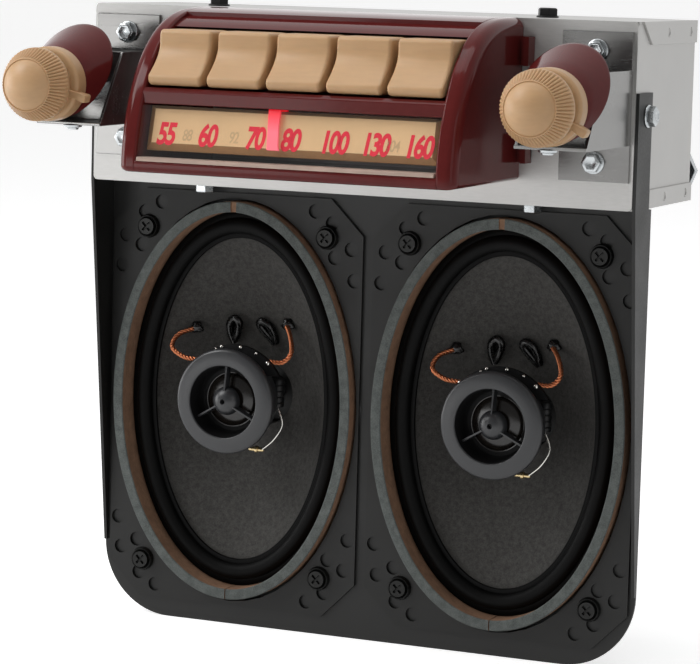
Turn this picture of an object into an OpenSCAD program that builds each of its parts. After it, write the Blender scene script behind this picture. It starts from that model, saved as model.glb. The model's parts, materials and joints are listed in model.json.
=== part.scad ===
// Retro dashboard car radio: a sheet-steel chassis with a moulded bezel, five push-buttons and a dial,
// two concentric controls on dash arms, and a bracket below that carries two oval coaxial speakers.
// The frame's origin is midway between the control shafts where the dash panel crosses them.
// X runs to the right of the driver, Y to the back and Z up. Sizes are in millimetres.

/* [Chassis] */
// Width of the chassis
chassis_w = 208.4; // [207.2:0.2:230]
// Height of the chassis
chassis_h = 64.6; // [63:0.2:76]
// Depth of the chassis, front face to back face
chassis_d = 64.4; // [50:0.2:110]
// Sheet thickness of the chassis
chassis_t = 1; // [0.8:0.1:1.5]
// Radius of the front panel's corners
chassis_corner_r = 1.6; // [0.5:0.1:4]
// Height of the top cover's side flaps
top_flap_h = 8; // [5:0.5:12]
// Height of the bottom cover's side flaps
bottom_flap_h = 6.5; // [4:0.5:10]
// Sheet thickness of the side flaps
flap_t = 0.8; // [0.5:0.1:1.2]
// Distance between the two screws on the top cover
top_screw_span = 128; // [80:1:180]
// Distance of the top screws behind the front face
top_screw_y = 20; // [10:1:44]
// Distance between the two screws under the bottom cover
bottom_screw_span = 128; // [80:1:180]
// Distance of the bottom screws behind the front face
bottom_screw_y = 11; // [5.5:0.5:11]

/* [Rear fittings] */
// Width of the rear support strap
strap_w = 14; // [10:1:24]
// Sheet thickness of the rear support strap
strap_t = 2; // [1.5:0.1:3]
// How far the strap stands out behind the chassis
strap_reach = 11; // [8:0.5:20]
// Height of the strap's foot, from its upper to its lower edge
strap_foot_h = 15; // [12:0.5:24]
// Radius of the bolt hole in the strap
strap_hole_r = 2.6; // [1.5:0.1:3]
// Outer radius of the aerial socket
aerial_r = 5.5; // [4.5:0.1:7]
// Radius of the aerial socket's bore
aerial_bore_r = 4; // [3:0.1:4.2]
// How far the aerial socket stands out behind the chassis
aerial_reach = 9; // [5:0.5:20]
// Width of the power socket
power_w = 32; // [20:1:50]
// Height of the power socket
power_h = 14; // [10:0.5:20]
// How far the power socket stands out behind the chassis
power_reach = 4; // [2:0.5:12]

/* [Bezel] */
// Width of the bezel
bezel_w = 125.4; // [110:0.2:136]
// Height of the bezel
bezel_h = 56.3; // [54:0.1:60]
// Depth of the bezel at its foot
bezel_d = 60.2; // [59.2:0.2:70]
// Fullness of the bezel's front, 2 for an ellipse
face_bulge = 3; // [2:0.1:4]
// Fullness of the bezel's top, 2 for an ellipse
top_bulge = 1.78; // [1.6:0.02:2.2]
// Width of the bezel's side rims
rim_w = 7.1; // [5.5:0.1:9]
// Radius on the outer edges of the side rims
rim_round = 4; // [2:0.1:4.5]
// Radius on the inner edges of the side rims
rim_inner_round = 1; // [0.4:0.1:1.2]
// Height of the bezel above the button bay
top_band_h = 6.5; // [5.5:0.1:7]
// Depth of the panel sunk into the bezel's top
strip_recess = 1.4; // [0.8:0.1:1.8]
// Depth of the brow behind that panel
brow_d = 22; // [16:0.5:25]
// Height of the button bay
button_bay_h = 20.7; // [19:0.1:22]
// Height of the bar between the buttons and the dial
bar_h = 5.5; // [5:0.1:7]
// Distance of that bar's face behind the rims at its foot
bar_recess = 1.7; // [1:0.1:1.8]
// Thickness of that bar
bar_t = 0.9; // [0.7:0.1:1]
// Height of the sill under the dial
sill_h = 4; // [3.5:0.1:5]
// Depth of the sill
sill_d = 6.5; // [5.5:0.1:9]
// Wall thickness of the bezel
bezel_t = 2.5; // [1.8:0.1:3]
// Width of the snap tabs beside the bezel
tab_w = 4.3; // [3:0.1:5]

/* [Buttons] */
// Gap between two buttons
button_gap = 2.4; // [0.5:0.1:3]
// Gap beside, above and below the row of buttons
bay_gap = 0.8; // [0.5:0.1:1.2]
// How far the buttons' lips stand in front of the chassis
button_lip_d = 54; // [50:0.5:60]
// Depth of the finger hollow above the lip
button_hollow_d = 8.5; // [4:0.5:10]
// Radius of the lip
button_lip_r = 2.2; // [1.5:0.1:2.6]
// Radius of the top edge
button_crown_r = 1.6; // [1:0.1:2.4]
// Radius of the side edges
button_side_r = 1.25; // [0.5:0.05:1.5]
// Travel of a button
button_travel = 3; // [2:0.5:4]
// Width of the guide posts
post_w = 9; // [6:0.5:12]
// Height of the guide posts
post_h = 7; // [5:0.5:9]
// Length of the guide posts
post_l = 23; // [15:0.5:26]
// Thickness of the button guide plate
guide_t = 3; // [2:0.5:4]

/* [Dial] */
// Lean of the dial scale, window and pointer
dial_tilt = 14; // [10:0.5:15]
// Height of the dial scale along its face
dial_face_h = 15.6; // [13:0.1:16.5]
// Thickness of the dial scale
dial_t = 2.4; // [1.5:0.1:2.8]
// Height of the bevel at the foot of the scale
dial_bevel = 2.2; // [1:0.1:3]
// Distance of the scale behind the bezel's face
dial_recess = 4.5; // [4.4:0.1:5.5]
// Thickness of the clear window
window_t = 1.5; // [1:0.1:1.6]
// Thickness of the pointer
pointer_t = 1; // [0.6:0.1:1.1]
// Width of the pointer
pointer_w = 3.6; // [2:0.1:5]
// Width of the pointer's carriage
carriage_w = 9; // [6:0.5:12]
// Position of the pointer on the scale
pointer_x = -5.7; // [-48:0.1:48]
// Radius of the pointer rail
rail_r = 1.5; // [1:0.1:1.8]

/* [Dash arms] */
// Distance from the chassis front to the dash panel, along the shafts
dash_reach = 36; // [34:0.5:38]
// Height of the shafts above the middle of the chassis
shaft_z = 4.8; // [2:0.1:6]
// Distance between the two control shafts
shaft_span = 184.8; // [180:0.2:185.6]
// Slope of the dash panel from upright
dash_slope = 33; // [25:0.5:35]
// Distance between the middles of the two arms
arm_span = 180.4; // [179:0.2:182]
// Width of an arm
arm_w = 25.4; // [25:0.1:27]
// Height of an arm's channel
arm_h = 25.7; // [24:0.1:28]
// Height of the middle of the arms above the middle of the chassis
arm_z = 3; // [1:0.1:4]
// Height of an arm's foot
arm_foot_h = 51.4; // [48:0.1:54]
// Sheet thickness of the arms
arm_t = 1.2; // [0.8:0.1:1.5]
// Distance between the two screws of an arm
arm_screw_span = 38.3; // [36:0.1:40]
// Distance of the web that holds the control in front of the chassis
web_y = 27.4; // [24:0.1:28]

/* [Controls] */
// Radius of the inner shafts
shaft_r = 2.5; // [2:0.1:2.6]
// Radius of the outer sleeves
sleeve_r = 4; // [3.6:0.1:4.2]
// Radius of the threaded bushings
bushing_r = 5.2; // [4.9:0.1:5.6]
// Radius of a control's body
control_r = 8.5; // [7.5:0.1:8.8]
// Depth of a control's body
control_d = 17; // [10:0.5:20]
// Width of the bushing nuts across their flats
nut_af = 13; // [12:0.5:15]
// Thickness of the bushing nuts
nut_t = 2.6; // [2:0.1:4]
// Radius of the escutcheon cups at their front
cup_front_r = 12.4; // [10:0.1:12.5]
// Flare of the cups, growth of radius with depth
cup_flare = 0.38; // [0.35:0.01:0.52]
// Distance from the chassis front to the cup's front
cup_front_y = 51.4; // [50.5:0.1:53]
// Distance from the cup's rim to the dash panel, along the shaft
cup_stand_off = 7; // [6:0.1:8]
// Wall thickness of the cups
cup_t = 1.6; // [1.2:0.1:2]
// Radius of the lever rings
ring_r = 13; // [11:0.1:13.5]
// Width of a lever ring along its shaft
ring_d = 6.5; // [5:0.1:7]
// How far the lever tab stands out of the ring
lever_reach = 4; // [2:0.1:6]
// Width of the lever tab
lever_w = 3.4; // [2:0.1:5]
// Angle of the left lever below level
left_lever_angle = 16; // [-60:1:60]
// Angle of the right lever below level
right_lever_angle = 29; // [-60:1:60]
// Radius of the knobs
knob_r = 12.8; // [11:0.1:13.5]
// Radius of the knobs' smooth dome
knob_dome_r = 8.6; // [6:0.1:9.6]
// Height of the dome
knob_dome_h = 3.6; // [1.5:0.1:4]
// Depth of the fluted skirt
knob_skirt_d = 8.4; // [6:0.1:10]
// Gap between the ring and the knob
knob_gap = 5; // [3:0.1:6]
// Number of flutes on a knob
knob_flutes = 60; // [40:2:72]
// Depth of the flutes
flute_d = 0.7; // [0.3:0.1:0.9]

/* [Speaker bracket] */
// Sheet thickness of the bracket
bracket_t = 1.2; // [1:0.1:2]
// Distance of the bracket's plate behind the chassis front
bracket_y = 16.7; // [16:0.1:19]
// Gap between the chassis and the top of the speaker frames
speaker_drop = 3.3; // [2:0.1:8]
// Height of the plate below the speaker frames
bracket_foot_h = 7; // [3:0.5:20]
// Radius of the bracket's lower corners
bracket_corner_r = 27; // [10:1:30]
// Height of the ears' top above the middle of the chassis
ear_top = 8; // [4:0.5:12]
// Depth of the ears
ear_d = 15; // [14:0.5:15.5]
// Distance of the ear screws behind the chassis front
ear_screw_y = 10; // [7:0.5:11]

/* [Speakers] */
// Width of a speaker frame
speaker_w = 101; // [100.8:0.2:101.4]
// Height of a speaker frame
speaker_h = 154; // [150:0.2:160]
// Gap between the two speaker frames
speaker_gap = 4; // [1:0.1:5]
// Sheet thickness of a speaker frame
frame_t = 1.2; // [0.8:0.1:1.6]
// Chamfer of the frame's corners
frame_chamfer = 13; // [10:0.5:15]
// Depth of the surround's seat behind the frame's face
seat_d = 5.5; // [4:0.1:6]
// Gap around the gasket in the frame's pocket
pocket_gap = 1.2; // [0.6:0.1:1.2]
// Distance from the frame's sides to the gasket
gasket_side = 2.2; // [2.2:0.1:3.5]
// Distance from the frame's ends to the gasket
gasket_end = 3; // [3:0.1:4]
// Width of the gasket's band
gasket_band = 3.9; // [3:0.1:4.5]
// How far the gasket stands in front of the frame
gasket_t = 3.7; // [2:0.1:5]
// Width of the surround's glued edge
surround_edge = 2.2; // [1.5:0.1:2.5]
// Width of the surround's half roll
roll_w = 6; // [5:0.1:7]
// Height of the surround's half roll
roll_h = 3; // [2:0.1:3.5]
// Thickness of the rubber surround
surround_t = 0.8; // [0.6:0.1:1]
// Depth of the cone
cone_d = 20; // [16:0.5:22]
// Thickness of the cone
cone_t = 0.8; // [0.6:0.1:1.2]
// Radius of the voice-coil former
former_r = 12.8; // [12:0.1:14]
// Thickness of the voice-coil former
former_t = 0.6; // [0.4:0.1:0.8]
// Depth of the spider's landing in the basket
spider_y = 31.5; // [30.9:0.1:32.5]
// Depth of the basket
basket_d = 35.5; // [34.5:0.5:40]
// Radius of the basket's back
basket_back_r = 34; // [32:0.5:36]
// Thickness of the motor's front plate
front_plate_t = 4; // [3:0.5:6]
// Radius of the magnet
magnet_r = 33; // [30:0.5:36]
// Thickness of the magnet
magnet_t = 12; // [10:0.5:18]
// Thickness of the yoke's back plate
yoke_t = 4; // [3:0.5:6]
// Radius of the tweeter
tweeter_r = 19.2; // [17:0.1:20]
// Radius of the tweeter's mouth
mouth_r = 13.5; // [12:0.1:14]
// How far the tweeter stands in front of the speaker frame
tweeter_front = 9.6; // [8:0.1:12]
// Radius of the tweeter's post
post_r = 4.6; // [3.5:0.1:5]
// Radius of the tweeter's bullet
bullet_r = 5; // [4:0.1:6]
// Radius of the speaker screws
speaker_screw_r = 1.9; // [1.5:0.1:2]
// Radius of the frame's spare holes
spare_hole_r = 2.6; // [2:0.1:2.8]
// Radius of the braided leads
lead_r = 0.9; // [0.6:0.1:1.2]

/* [Hidden] */
$fn = 64;
// Radial room of shafts in their bores
running_gap = 0.05;
// Room between a screw and its hole
screw_gap = 0.15;
// Room between pieces that move past each other
moving_gap = 0.4;
// Overlap that joins shapes within one solid
join = 0.5;

// Fasteners
hex_screw_r = 1.8;
hex_head_af = 6.2;
hex_head_h = 3.4;
hex_flange_r = 4;
hex_flange_h = 0.8;
hex_shank_l = 5;
washer_r = 4.5;
washer_t = 1.1;
cross_head_r = 3;
cross_head_h = 1.5;

// Chassis
chassis_top = chassis_h / 2;
chassis_side = chassis_w / 2;
flap_start = ear_d + 1.5;
top_flap_start = 4;
top_flap_lean = 10;
weld_r = 1.6;
weld_d = 0.3;
weld_places = [0.35, 0.85];
aerial_x = 62;
aerial_z = 8;
power_x = 0;
power_z = -6;
socket_gap = 0.1;
strap_x = chassis_side - strap_w / 2 - 4;
strap_z = -chassis_top + chassis_t + strap_foot_h / 2 + 1.5;

// Bezel
bezel_top = chassis_top;
bezel_foot = bezel_top - bezel_h;
bezel_nose = 2;
bezel_mid = bezel_foot + bezel_nose;
bezel_rise = bezel_top - bezel_mid;
rim_in = bezel_w / 2 - rim_w;
bay_top = bezel_top - top_band_h;
bar_top = bay_top - button_bay_h;
bar_foot = bar_top - bar_h;
sill_top = bezel_foot + sill_h;
shelf_t = 1.8;
bar_edge = 1.3;
sill_edge = 0.9;
bar_front = bezel_front(bar_foot) + bar_recess;
tab_t = 2;
tab_rib_d = 6;
tab_h = 10;
tab_places = [21, -12.5];

// Buttons
button_count = 5;
row_w = 2 * rim_in - 2 * bay_gap;
button_w = (row_w - (button_count - 1) * button_gap) / button_count;
button_pitch = button_w + button_gap;
button_foot = bar_top + bay_gap;
button_top = bay_top - bay_gap;
button_mid = (button_foot + button_top) / 2;
button_back = guide_t + button_travel + 2;
button_crown_band = 4;
post_tip = guide_t + post_l;

// Dial
dial_top_y = bezel_front(bar_foot) + dial_recess;
dial_top_z = bar_foot - 0.5;
dial_w = 2 * rim_in - 2.4;
pointer_room = 0.8;
pointer_n = -pointer_room - pointer_t;
window_n = pointer_n - pointer_room - window_t;
pointer_rise = 2.4;
pointer_drop = 13.4;
bridge_t = 1.2;
carriage_n = [dial_t + pointer_room, dial_t + pointer_room + 6.6];
carriage_foot = 5;
rail_n = (carriage_n[0] + carriage_n[1]) / 2;
rail_s = 1.4;
rail_seat = 2;
peg_r = 0.9;
window_foot_h = 1.6;
window_foot_back = 5;

// Arms and controls
dash_lean = tan(dash_slope);
arm_low = arm_z - arm_h / 2;
arm_high = arm_z + arm_h / 2;
arm_lug_h = (arm_foot_h - arm_h) / 2;
web_back = web_y - arm_t;
bushing_tip = cup_front_y - 0.9;
sleeve_in = shaft_r + running_gap;
ring_back = cup_front_y + 0.6;
ring_front = ring_back + ring_d;
knob_back = ring_front + knob_gap;
knob_edge = knob_back + knob_skirt_d;
knob_rim_d = 2.4;
ring_round = 1.5;
lever_d = 3.4;
shaft_tail = web_back - 8;
sleeve_tail = web_back - 4;

// Speaker bracket and speakers
bracket_side = chassis_side + bracket_t;
speaker_z = -chassis_top - speaker_drop - speaker_h / 2;
speaker_x = (speaker_w + speaker_gap) / 2;
flange_y = bracket_y - frame_t;
bracket_foot = speaker_z - speaker_h / 2 - bracket_foot_h;
bracket_head = -chassis_top - 0.3;
ear_front = 0.4;
ear_screw_z = 0;
gasket_a = speaker_w / 2 - gasket_side;
gasket_b = speaker_h / 2 - gasket_end;
pocket_a = gasket_a + pocket_gap;
pocket_b = gasket_b + pocket_gap;
pocket_t = 0.9;
cutout_gap = 0.3;
surround_a = gasket_a - gasket_band - 0.2;
surround_b = gasket_b - gasket_band - 0.2;
cone_a = surround_a - surround_edge - roll_w;
cone_b = surround_b - surround_edge - roll_w;
frame_a = surround_a - surround_edge + 0.2;
frame_b = surround_b - surround_edge + 0.2;
cone_lip = 1.6;
cone_y = seat_d + 0.3;
former_tail = basket_d + 1.2 + front_plate_t + 1;
plate_y = basket_d + frame_t;
magnet_y = plate_y + front_plate_t;
yoke_y = magnet_y + magnet_t;
coil_gap = 0.8;
pole_r = former_r - former_t - 0.5;
magnet_hole_r = former_r + 7;
landing_r = 28.5;
landing_w = 3;
oval_steps = 48;
screw_dx = 14.2;
screw_dz = 14.2;
spare_holes = [[19.3, 4.9], [12.4, 8.9], [4.7, 18], [11.2, 21.3], [3.3, 29.3]];
gap_top = 2.2;
gap_foot = 0.4;
terminal_r = 22;
terminal_t = 1.6;
terminal_y = 0.2;
lead_routes = [
    [[-16.5, 2.8, 14], [-21.5, 2.4, 14.6], [-26.5, 3.2, 17.5], [-26.6, 7.6, 22.4], [-23.6, 12.3, 24.6]],
    [[13, 2.8, 16.4], [19, 2.6, 16.6], [22.2, 3.6, 20], [19.6, 9, 25.4], [15, 15.3, 29]]
];
wire_route = [[15, 6.6, -2], [17.5, 5.5, -8], [15.2, 3.4, -13.5], [11, 2.6, -17.4]];
wire_r = 0.4;
capacitor_r = 2.4;
capacitor_l = 11;

// Colours
steel = "Silver";
zinc = "Gainsboro";
maroon = "Maroon";
tan_plastic = "Tan";
black = "DimGray";
rubber = "Black";

// Shape helpers

// Moves a piece from the chassis front's middle to the part's frame
module in_frame(tint) {
    color(tint) translate([0, dash_reach, -shaft_z]) children();
}

// Extrudes an outline drawn in X and Z from depth y0 to depth y1
module along_y(y0, y1) {
    translate([0, y1, 0]) rotate([90, 0, 0]) linear_extrude(y1 - y0) children();
}

// Extrudes an outline drawn in Y and Z from x0 to x1
module along_x(x0, x1) {
    translate([x0, 0, 0]) rotate([90, 0, 90]) linear_extrude(x1 - x0) children();
}

// Round rod along Y
module rod_y(r, y0, y1) {
    translate([0, y0, 0]) rotate([-90, 0, 0]) cylinder(r = r, h = y1 - y0);
}

// Round rod along X
module rod_x(r, x0, x1) {
    translate([x0, 0, 0]) rotate([0, 90, 0]) cylinder(r = r, h = x1 - x0);
}

// Turns a profile drawn as radius and depth about the Y axis
module turned() {
    rotate([-90, 0, 0]) rotate_extrude() children();
}

// Box between two corners
module block(low, high) {
    translate(low) cube(high - low);
}

// Rectangle with round corners
module round_rect(w, h, r) {
    square([w - 2 * r, h], center = true);
    square([w, h - 2 * r], center = true);
    for (sx = [-1, 1], sz = [-1, 1]) translate([sx * (w / 2 - r), sz * (h / 2 - r)]) circle(r);
}

// Hexagonal prism with its washer flange and shank; it points up with the flange's face at zero
module hex_screw(shank_l) {
    cylinder(r = hex_flange_r, h = hex_flange_h);
    cylinder(d = hex_head_af / cos(30), h = hex_head_h, $fn = 6);
    translate([0, 0, -shank_l]) cylinder(r = hex_screw_r, h = shank_l + join);
}

// Solid through a list of rings with equally many points; a closed loft is a hoop whose rings are listed
// from its outside over its front to its inside
module loft(rings, closed = false) {
    n = len(rings);
    m = len(rings[0]);
    walls = [
        for (i = [0 : (closed ? n : n - 1) - 1], j = [0 : m - 1])
            let (a = i * m, b = ((i + 1) % n) * m, k = (j + 1) % m)
            each closed
                ? [[a + j, b + k, a + k], [a + j, b + j, b + k]]
                : [[a + j, a + k, b + k], [a + j, b + k, b + j]]
    ];
    ends = closed ? [] : [
        [for (j = [m - 1 : -1 : 0]) j],
        [for (j = [0 : m - 1]) (n - 1) * m + j]
    ];
    polyhedron([for (ring = rings) each ring], concat(walls, ends), convexity = 6);
}

// Points of an oval at one depth
function oval_ring(a, b, y) = [
    for (i = [0 : oval_steps - 1])
        let (t = 360 * i / oval_steps)
        [a * cos(t), y, b * sin(t)]
];

// Flat oval outline
module oval(a, b) {
    polygon([
        for (i = [0 : oval_steps - 1])
            let (t = 360 * i / oval_steps)
            [a * cos(t), b * sin(t)]
    ]);
}

// Smooth curve through a route's points
function curve_point(p, i, t) =
    let (
        last = len(p) - 1,
        a = p[max(i - 1, 0)],
        b = p[i],
        c = p[i + 1],
        d = p[min(i + 2, last)]
    )
    0.5 * (2 * b + (c - a) * t + (2 * a - 5 * b + 4 * c - d) * t * t + (3 * b - a - 3 * c + d) * t * t * t);

function smooth_route(p, steps) = concat(
    [for (i = [0 : len(p) - 2], k = [0 : steps - 1]) curve_point(p, i, k / steps)],
    [p[len(p) - 1]]
);

function unit(v) = v / norm(v);

// Tube along a route, each ring square to the route
module tube(route, r, sides = 8) {
    last = len(route) - 1;
    rings = [
        for (i = [0 : last])
            let (
                way = unit(route[min(i + 1, last)] - route[max(i - 1, 0)]),
                side = unit(cross(way, [0, 1, 0.2])),
                rise = cross(side, way)
            )
            [for (j = [0 : sides - 1]) route[i] + r * (side * cos(360 * j / sides) + rise * sin(360 * j / sides))]
    ];
    loft(rings);
}

// Chassis

module front_panel() {
    in_frame(steel) difference() {
        along_y(0, chassis_t) round_rect(chassis_w, chassis_h, chassis_corner_r);
        arm_screw_places() rod_y(hex_screw_r + screw_gap, -1, chassis_t + 1);
    }
}

module chassis_wrap() {
    inner_h = chassis_h - 2 * chassis_t;
    in_frame(steel) difference() {
        block([-chassis_side, chassis_t, -inner_h / 2], [chassis_side, chassis_d, inner_h / 2]);
        block(
            [-chassis_side + chassis_t, 0, -chassis_top],
            [chassis_side - chassis_t, chassis_d - chassis_t, chassis_top]
        );
        translate([0, ear_screw_y, ear_screw_z])
            rod_x(hex_screw_r + screw_gap, -chassis_side - 1, chassis_side + 1);
        translate([aerial_x, 0, aerial_z]) rod_y(aerial_r + socket_gap, chassis_d - 2 * chassis_t, chassis_d + 1);
        translate([power_x, 0, power_z])
            along_y(chassis_d - 2 * chassis_t, chassis_d + 1)
            square([power_w + 2 * socket_gap, power_h + 2 * socket_gap], center = true);
    }
}

// Cover sheet that lies on top at +1 or underneath at -1, with welded flaps down both sides
module cover(side, flap_h, start, lean, screw_span, screw_y) {
    face = side * chassis_top;
    inner = side * (chassis_top - chassis_t);
    tip = side * (chassis_top - flap_h);
    difference() {
        union() {
            block(
                [-chassis_side, chassis_t, min(face, inner)],
                [chassis_side, chassis_d, max(face, inner)]
            );
            for (s = [-1, 1]) {
                x0 = s * chassis_side;
                x1 = s * (chassis_side + flap_t);
                along_x(min(x0, x1), max(x0, x1))
                    polygon([[start, face], [chassis_d, face], [chassis_d, tip], [start + lean, tip]]);
            }
        }
        for (s = [-1, 1], k = weld_places)
            translate([
                s * (chassis_side + flap_t),
                start + lean + k * (chassis_d - start - lean),
                (face + tip) / 2
            ])
                rod_x(weld_r, -weld_d, weld_d);
        for (s = [-1, 1])
            translate([s * screw_span / 2, screw_y, face])
                cylinder(r = hex_screw_r + screw_gap, h = 6 * chassis_t, center = true);
    }
}

module top_cover() {
    in_frame(steel) cover(1, top_flap_h, top_flap_start, top_flap_lean, top_screw_span, top_screw_y);
}

module bottom_cover() {
    in_frame(steel) cover(-1, bottom_flap_h, flap_start, 0, bottom_screw_span, bottom_screw_y);
}

module case_screws() {
    in_frame(zinc) for (s = [-1, 1]) {
        translate([s * top_screw_span / 2, top_screw_y, chassis_top]) hex_screw(hex_shank_l);
        translate([s * bottom_screw_span / 2, bottom_screw_y, -chassis_top])
            rotate([180, 0, 0]) hex_screw(hex_shank_l);
    }
}

// Bent strap with two slanting legs; the upper one has the bolt hole
module rear_strap() {
    leg = atan2(strap_foot_h / 2, strap_reach);
    mid = [strap_reach / 2, strap_foot_h / 4];
    wall = strap_t / cos(leg);
    in_frame(zinc) translate([strap_x, chassis_d, strap_z]) difference() {
        along_x(-strap_w / 2, strap_w / 2)
            polygon([
                [0, strap_foot_h / 2],
                [strap_reach, 0],
                [0, -strap_foot_h / 2],
                [0, -strap_foot_h / 2 + wall],
                [strap_reach - strap_t / sin(leg), 0],
                [0, strap_foot_h / 2 - wall]
            ]);
        translate([0, mid[0], mid[1]]) rotate([-leg, 0, 0])
            cylinder(r = strap_hole_r, h = 3 * strap_t, center = true);
    }
}

module antenna_socket() {
    flange_r = aerial_r + 2;
    flange_t = 1.6;
    in_frame(zinc) translate([aerial_x, chassis_d, aerial_z]) difference() {
        union() {
            rod_y(aerial_r, -3 * chassis_t, aerial_reach);
            rod_y(flange_r, 0, flange_t);
        }
        rod_y(aerial_bore_r, 0, aerial_reach + 1);
    }
}

// Open-fronted plug housing with two rows of pins
module power_socket() {
    wall = 1.4;
    pin = 1;
    columns = 7;
    pitch = (power_w - 2 * wall) / columns;
    in_frame("DimGray") translate([power_x, chassis_d, power_z]) {
        difference() {
            along_y(-6 * chassis_t, power_reach) square([power_w, power_h], center = true);
            along_y(-4 * chassis_t, power_reach + 1)
                square([power_w - 2 * wall, power_h - 2 * wall], center = true);
        }
        for (i = [0 : columns - 1], s = [-1, 1])
            translate([(i - (columns - 1) / 2) * pitch, 0, s * power_h / 5])
                along_y(-6 * chassis_t + join, power_reach - 1) square(pin, center = true);
    }
}

// Bezel

// Depth of the bezel's curved face at a height
function bezel_front(z) =
    -bezel_d * pow(max(0, 1 - pow(max(0, z - bezel_mid) / bezel_rise, top_bulge)), 1 / face_bulge);

// Point of the curved face at an angle, from 0 at the foot to 90 at the top, drawn in by an inset
function bezel_point(angle, inset) = [
    -(bezel_d - inset) * pow(cos(angle), 2 / face_bulge),
    bezel_mid + (bezel_rise - inset) * pow(sin(angle), 2 / top_bulge)
];

// Angles at which that face reaches a height and a depth
function angle_at_height(z, inset) = asin(pow((z - bezel_mid) / (bezel_rise - inset), top_bulge / 2));
function angle_at_depth(d, inset) = acos(pow(d / (bezel_d - inset), face_bulge / 2));

// Run of points on that face between two angles
function bezel_run(from, to, inset, steps) =
    [for (i = [0 : steps]) bezel_point(from + (to - from) * i / steps, inset)];

// Side outline of the bezel, drawn in by an inset
function bezel_section(inset) =
    let (d = bezel_d - inset, foot = bezel_foot + 0.4 * inset)
    concat(
        [[0, foot]],
        [for (a = [0, 45]) [-d + bezel_nose * (1 - sin(a)), bezel_mid - (bezel_mid - foot) * cos(a)]],
        bezel_run(0, 90, inset, 16)
    );

function bezel_ring(x, inset) = [for (p = bezel_section(inset)) [x, p[0], p[1]]];

// Right-hand side rim, rounded on its outer and inner edges
module side_rim() {
    out = bezel_w / 2;
    loft(concat(
        [for (a = [0 : 22.5 : 90])
            bezel_ring(rim_in + rim_inner_round * (1 - cos(a)), rim_inner_round * (1 - sin(a)))],
        [for (a = [90 : -22.5 : 0])
            bezel_ring(out - rim_round * (1 - cos(a)), rim_round * (1 - sin(a)))]
    ));
}

// Curved strip over the buttons: a sunk panel, then a brow level with the rims
module top_strip() {
    sunk = strip_recess;
    inner = strip_recess + bezel_t;
    steps = 6;
    along_x(-rim_in - join, rim_in + join) polygon(concat(
        bezel_run(angle_at_height(bay_top, sunk), angle_at_depth(brow_d, sunk), sunk, steps),
        bezel_run(angle_at_depth(brow_d, 0), 90, 0, steps),
        bezel_run(90, angle_at_height(bay_top, inner), inner, steps)
    ));
}

// Bar between the buttons and the dial, with the shelf that parts the two bays
module middle_bar() {
    along_x(-rim_in - join, rim_in + join) polygon([
        [bar_front + bar_edge, bar_top],
        [bar_front, bar_top - bar_edge],
        [bar_front, bar_foot],
        [bar_front + bar_t, bar_foot],
        [bar_front + bar_t, bar_top - shelf_t],
        [0, bar_top - shelf_t],
        [0, bar_top]
    ]);
}

// Sill under the dial, with the floor behind it
module sill() {
    along_x(-rim_in - join, rim_in + join) polygon([
        [0, bezel_foot],
        [-bezel_d + bezel_nose, bezel_foot],
        [-bezel_d + 0.3 * bezel_nose, bezel_foot + 0.3 * bezel_nose],
        [-bezel_d, bezel_mid],
        [-bezel_d, sill_top - sill_edge],
        [-bezel_d + sill_edge, sill_top],
        [-bezel_d + sill_d, sill_top],
        [-bezel_d + sill_d, bezel_foot + bezel_t],
        [0, bezel_foot + bezel_t]
    ]);
}

// Snap tab beside the bezel, with its stiffening rib
module snap_tab(z) {
    edge = bezel_w / 2;
    block([edge - join, -tab_t, z - tab_h / 2], [edge + tab_w, 0, z + tab_h / 2]);
    block([edge + tab_w - tab_t, -tab_rib_d, z - tab_h / 2], [edge + tab_w, 0, z + tab_h / 2]);
}

module bezel() {
    in_frame(maroon) difference() {
        union() {
            for (s = [0, 1]) mirror([s, 0, 0]) {
                side_rim();
                for (z = tab_places) snap_tab(z);
            }
            top_strip();
            middle_bar();
            sill();
        }
        translate([0, dial_at(rail_n, rail_s)[0], dial_at(rail_n, rail_s)[1]])
            rod_x(rail_r + running_gap, -rim_in - rail_seat, rim_in + rail_seat);
    }
}

// Dial

// Point in Y and Z on the leaning dial: n behind the scale's face, s down from its top edge
function dial_at(n, s) = [
    dial_top_y + n * cos(dial_tilt) - s * sin(dial_tilt),
    dial_top_z - n * sin(dial_tilt) - s * cos(dial_tilt)
];

module dial_scale() {
    in_frame(tan_plastic) {
        along_x(-dial_w / 2, dial_w / 2) polygon([
            dial_at(0, 0),
            dial_at(0, dial_face_h - dial_bevel),
            dial_at(dial_t - 0.6, dial_face_h),
            dial_at(dial_t, dial_face_h),
            dial_at(dial_t, 0)
        ]);
        peg = dial_at(dial_t / 2, dial_face_h / 2);
        translate([0, peg[0], peg[1]]) for (s = [0, 1]) mirror([s, 0, 0])
            rod_x(peg_r, dial_w / 2 - join, rim_in);
    }
}

// Clear window whose foot stands on the sill
module dial_window() {
    half = rim_in - moving_gap;
    top_s = (dial_top_z - window_n * sin(dial_tilt) - bar_foot) / cos(dial_tilt) + 0.4;
    foot_s = (dial_top_z - window_n * sin(dial_tilt) - sill_top - window_foot_h / 2) / cos(dial_tilt);
    low = dial_at(window_n, foot_s);
    in_frame("LightCyan") along_x(-half, half) {
        polygon([
            dial_at(window_n, top_s),
            low,
            dial_at(window_n + window_t, foot_s),
            dial_at(window_n + window_t, top_s)
        ]);
        translate([low[0], sill_top]) square([window_foot_back, window_foot_h]);
    }
}

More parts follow.
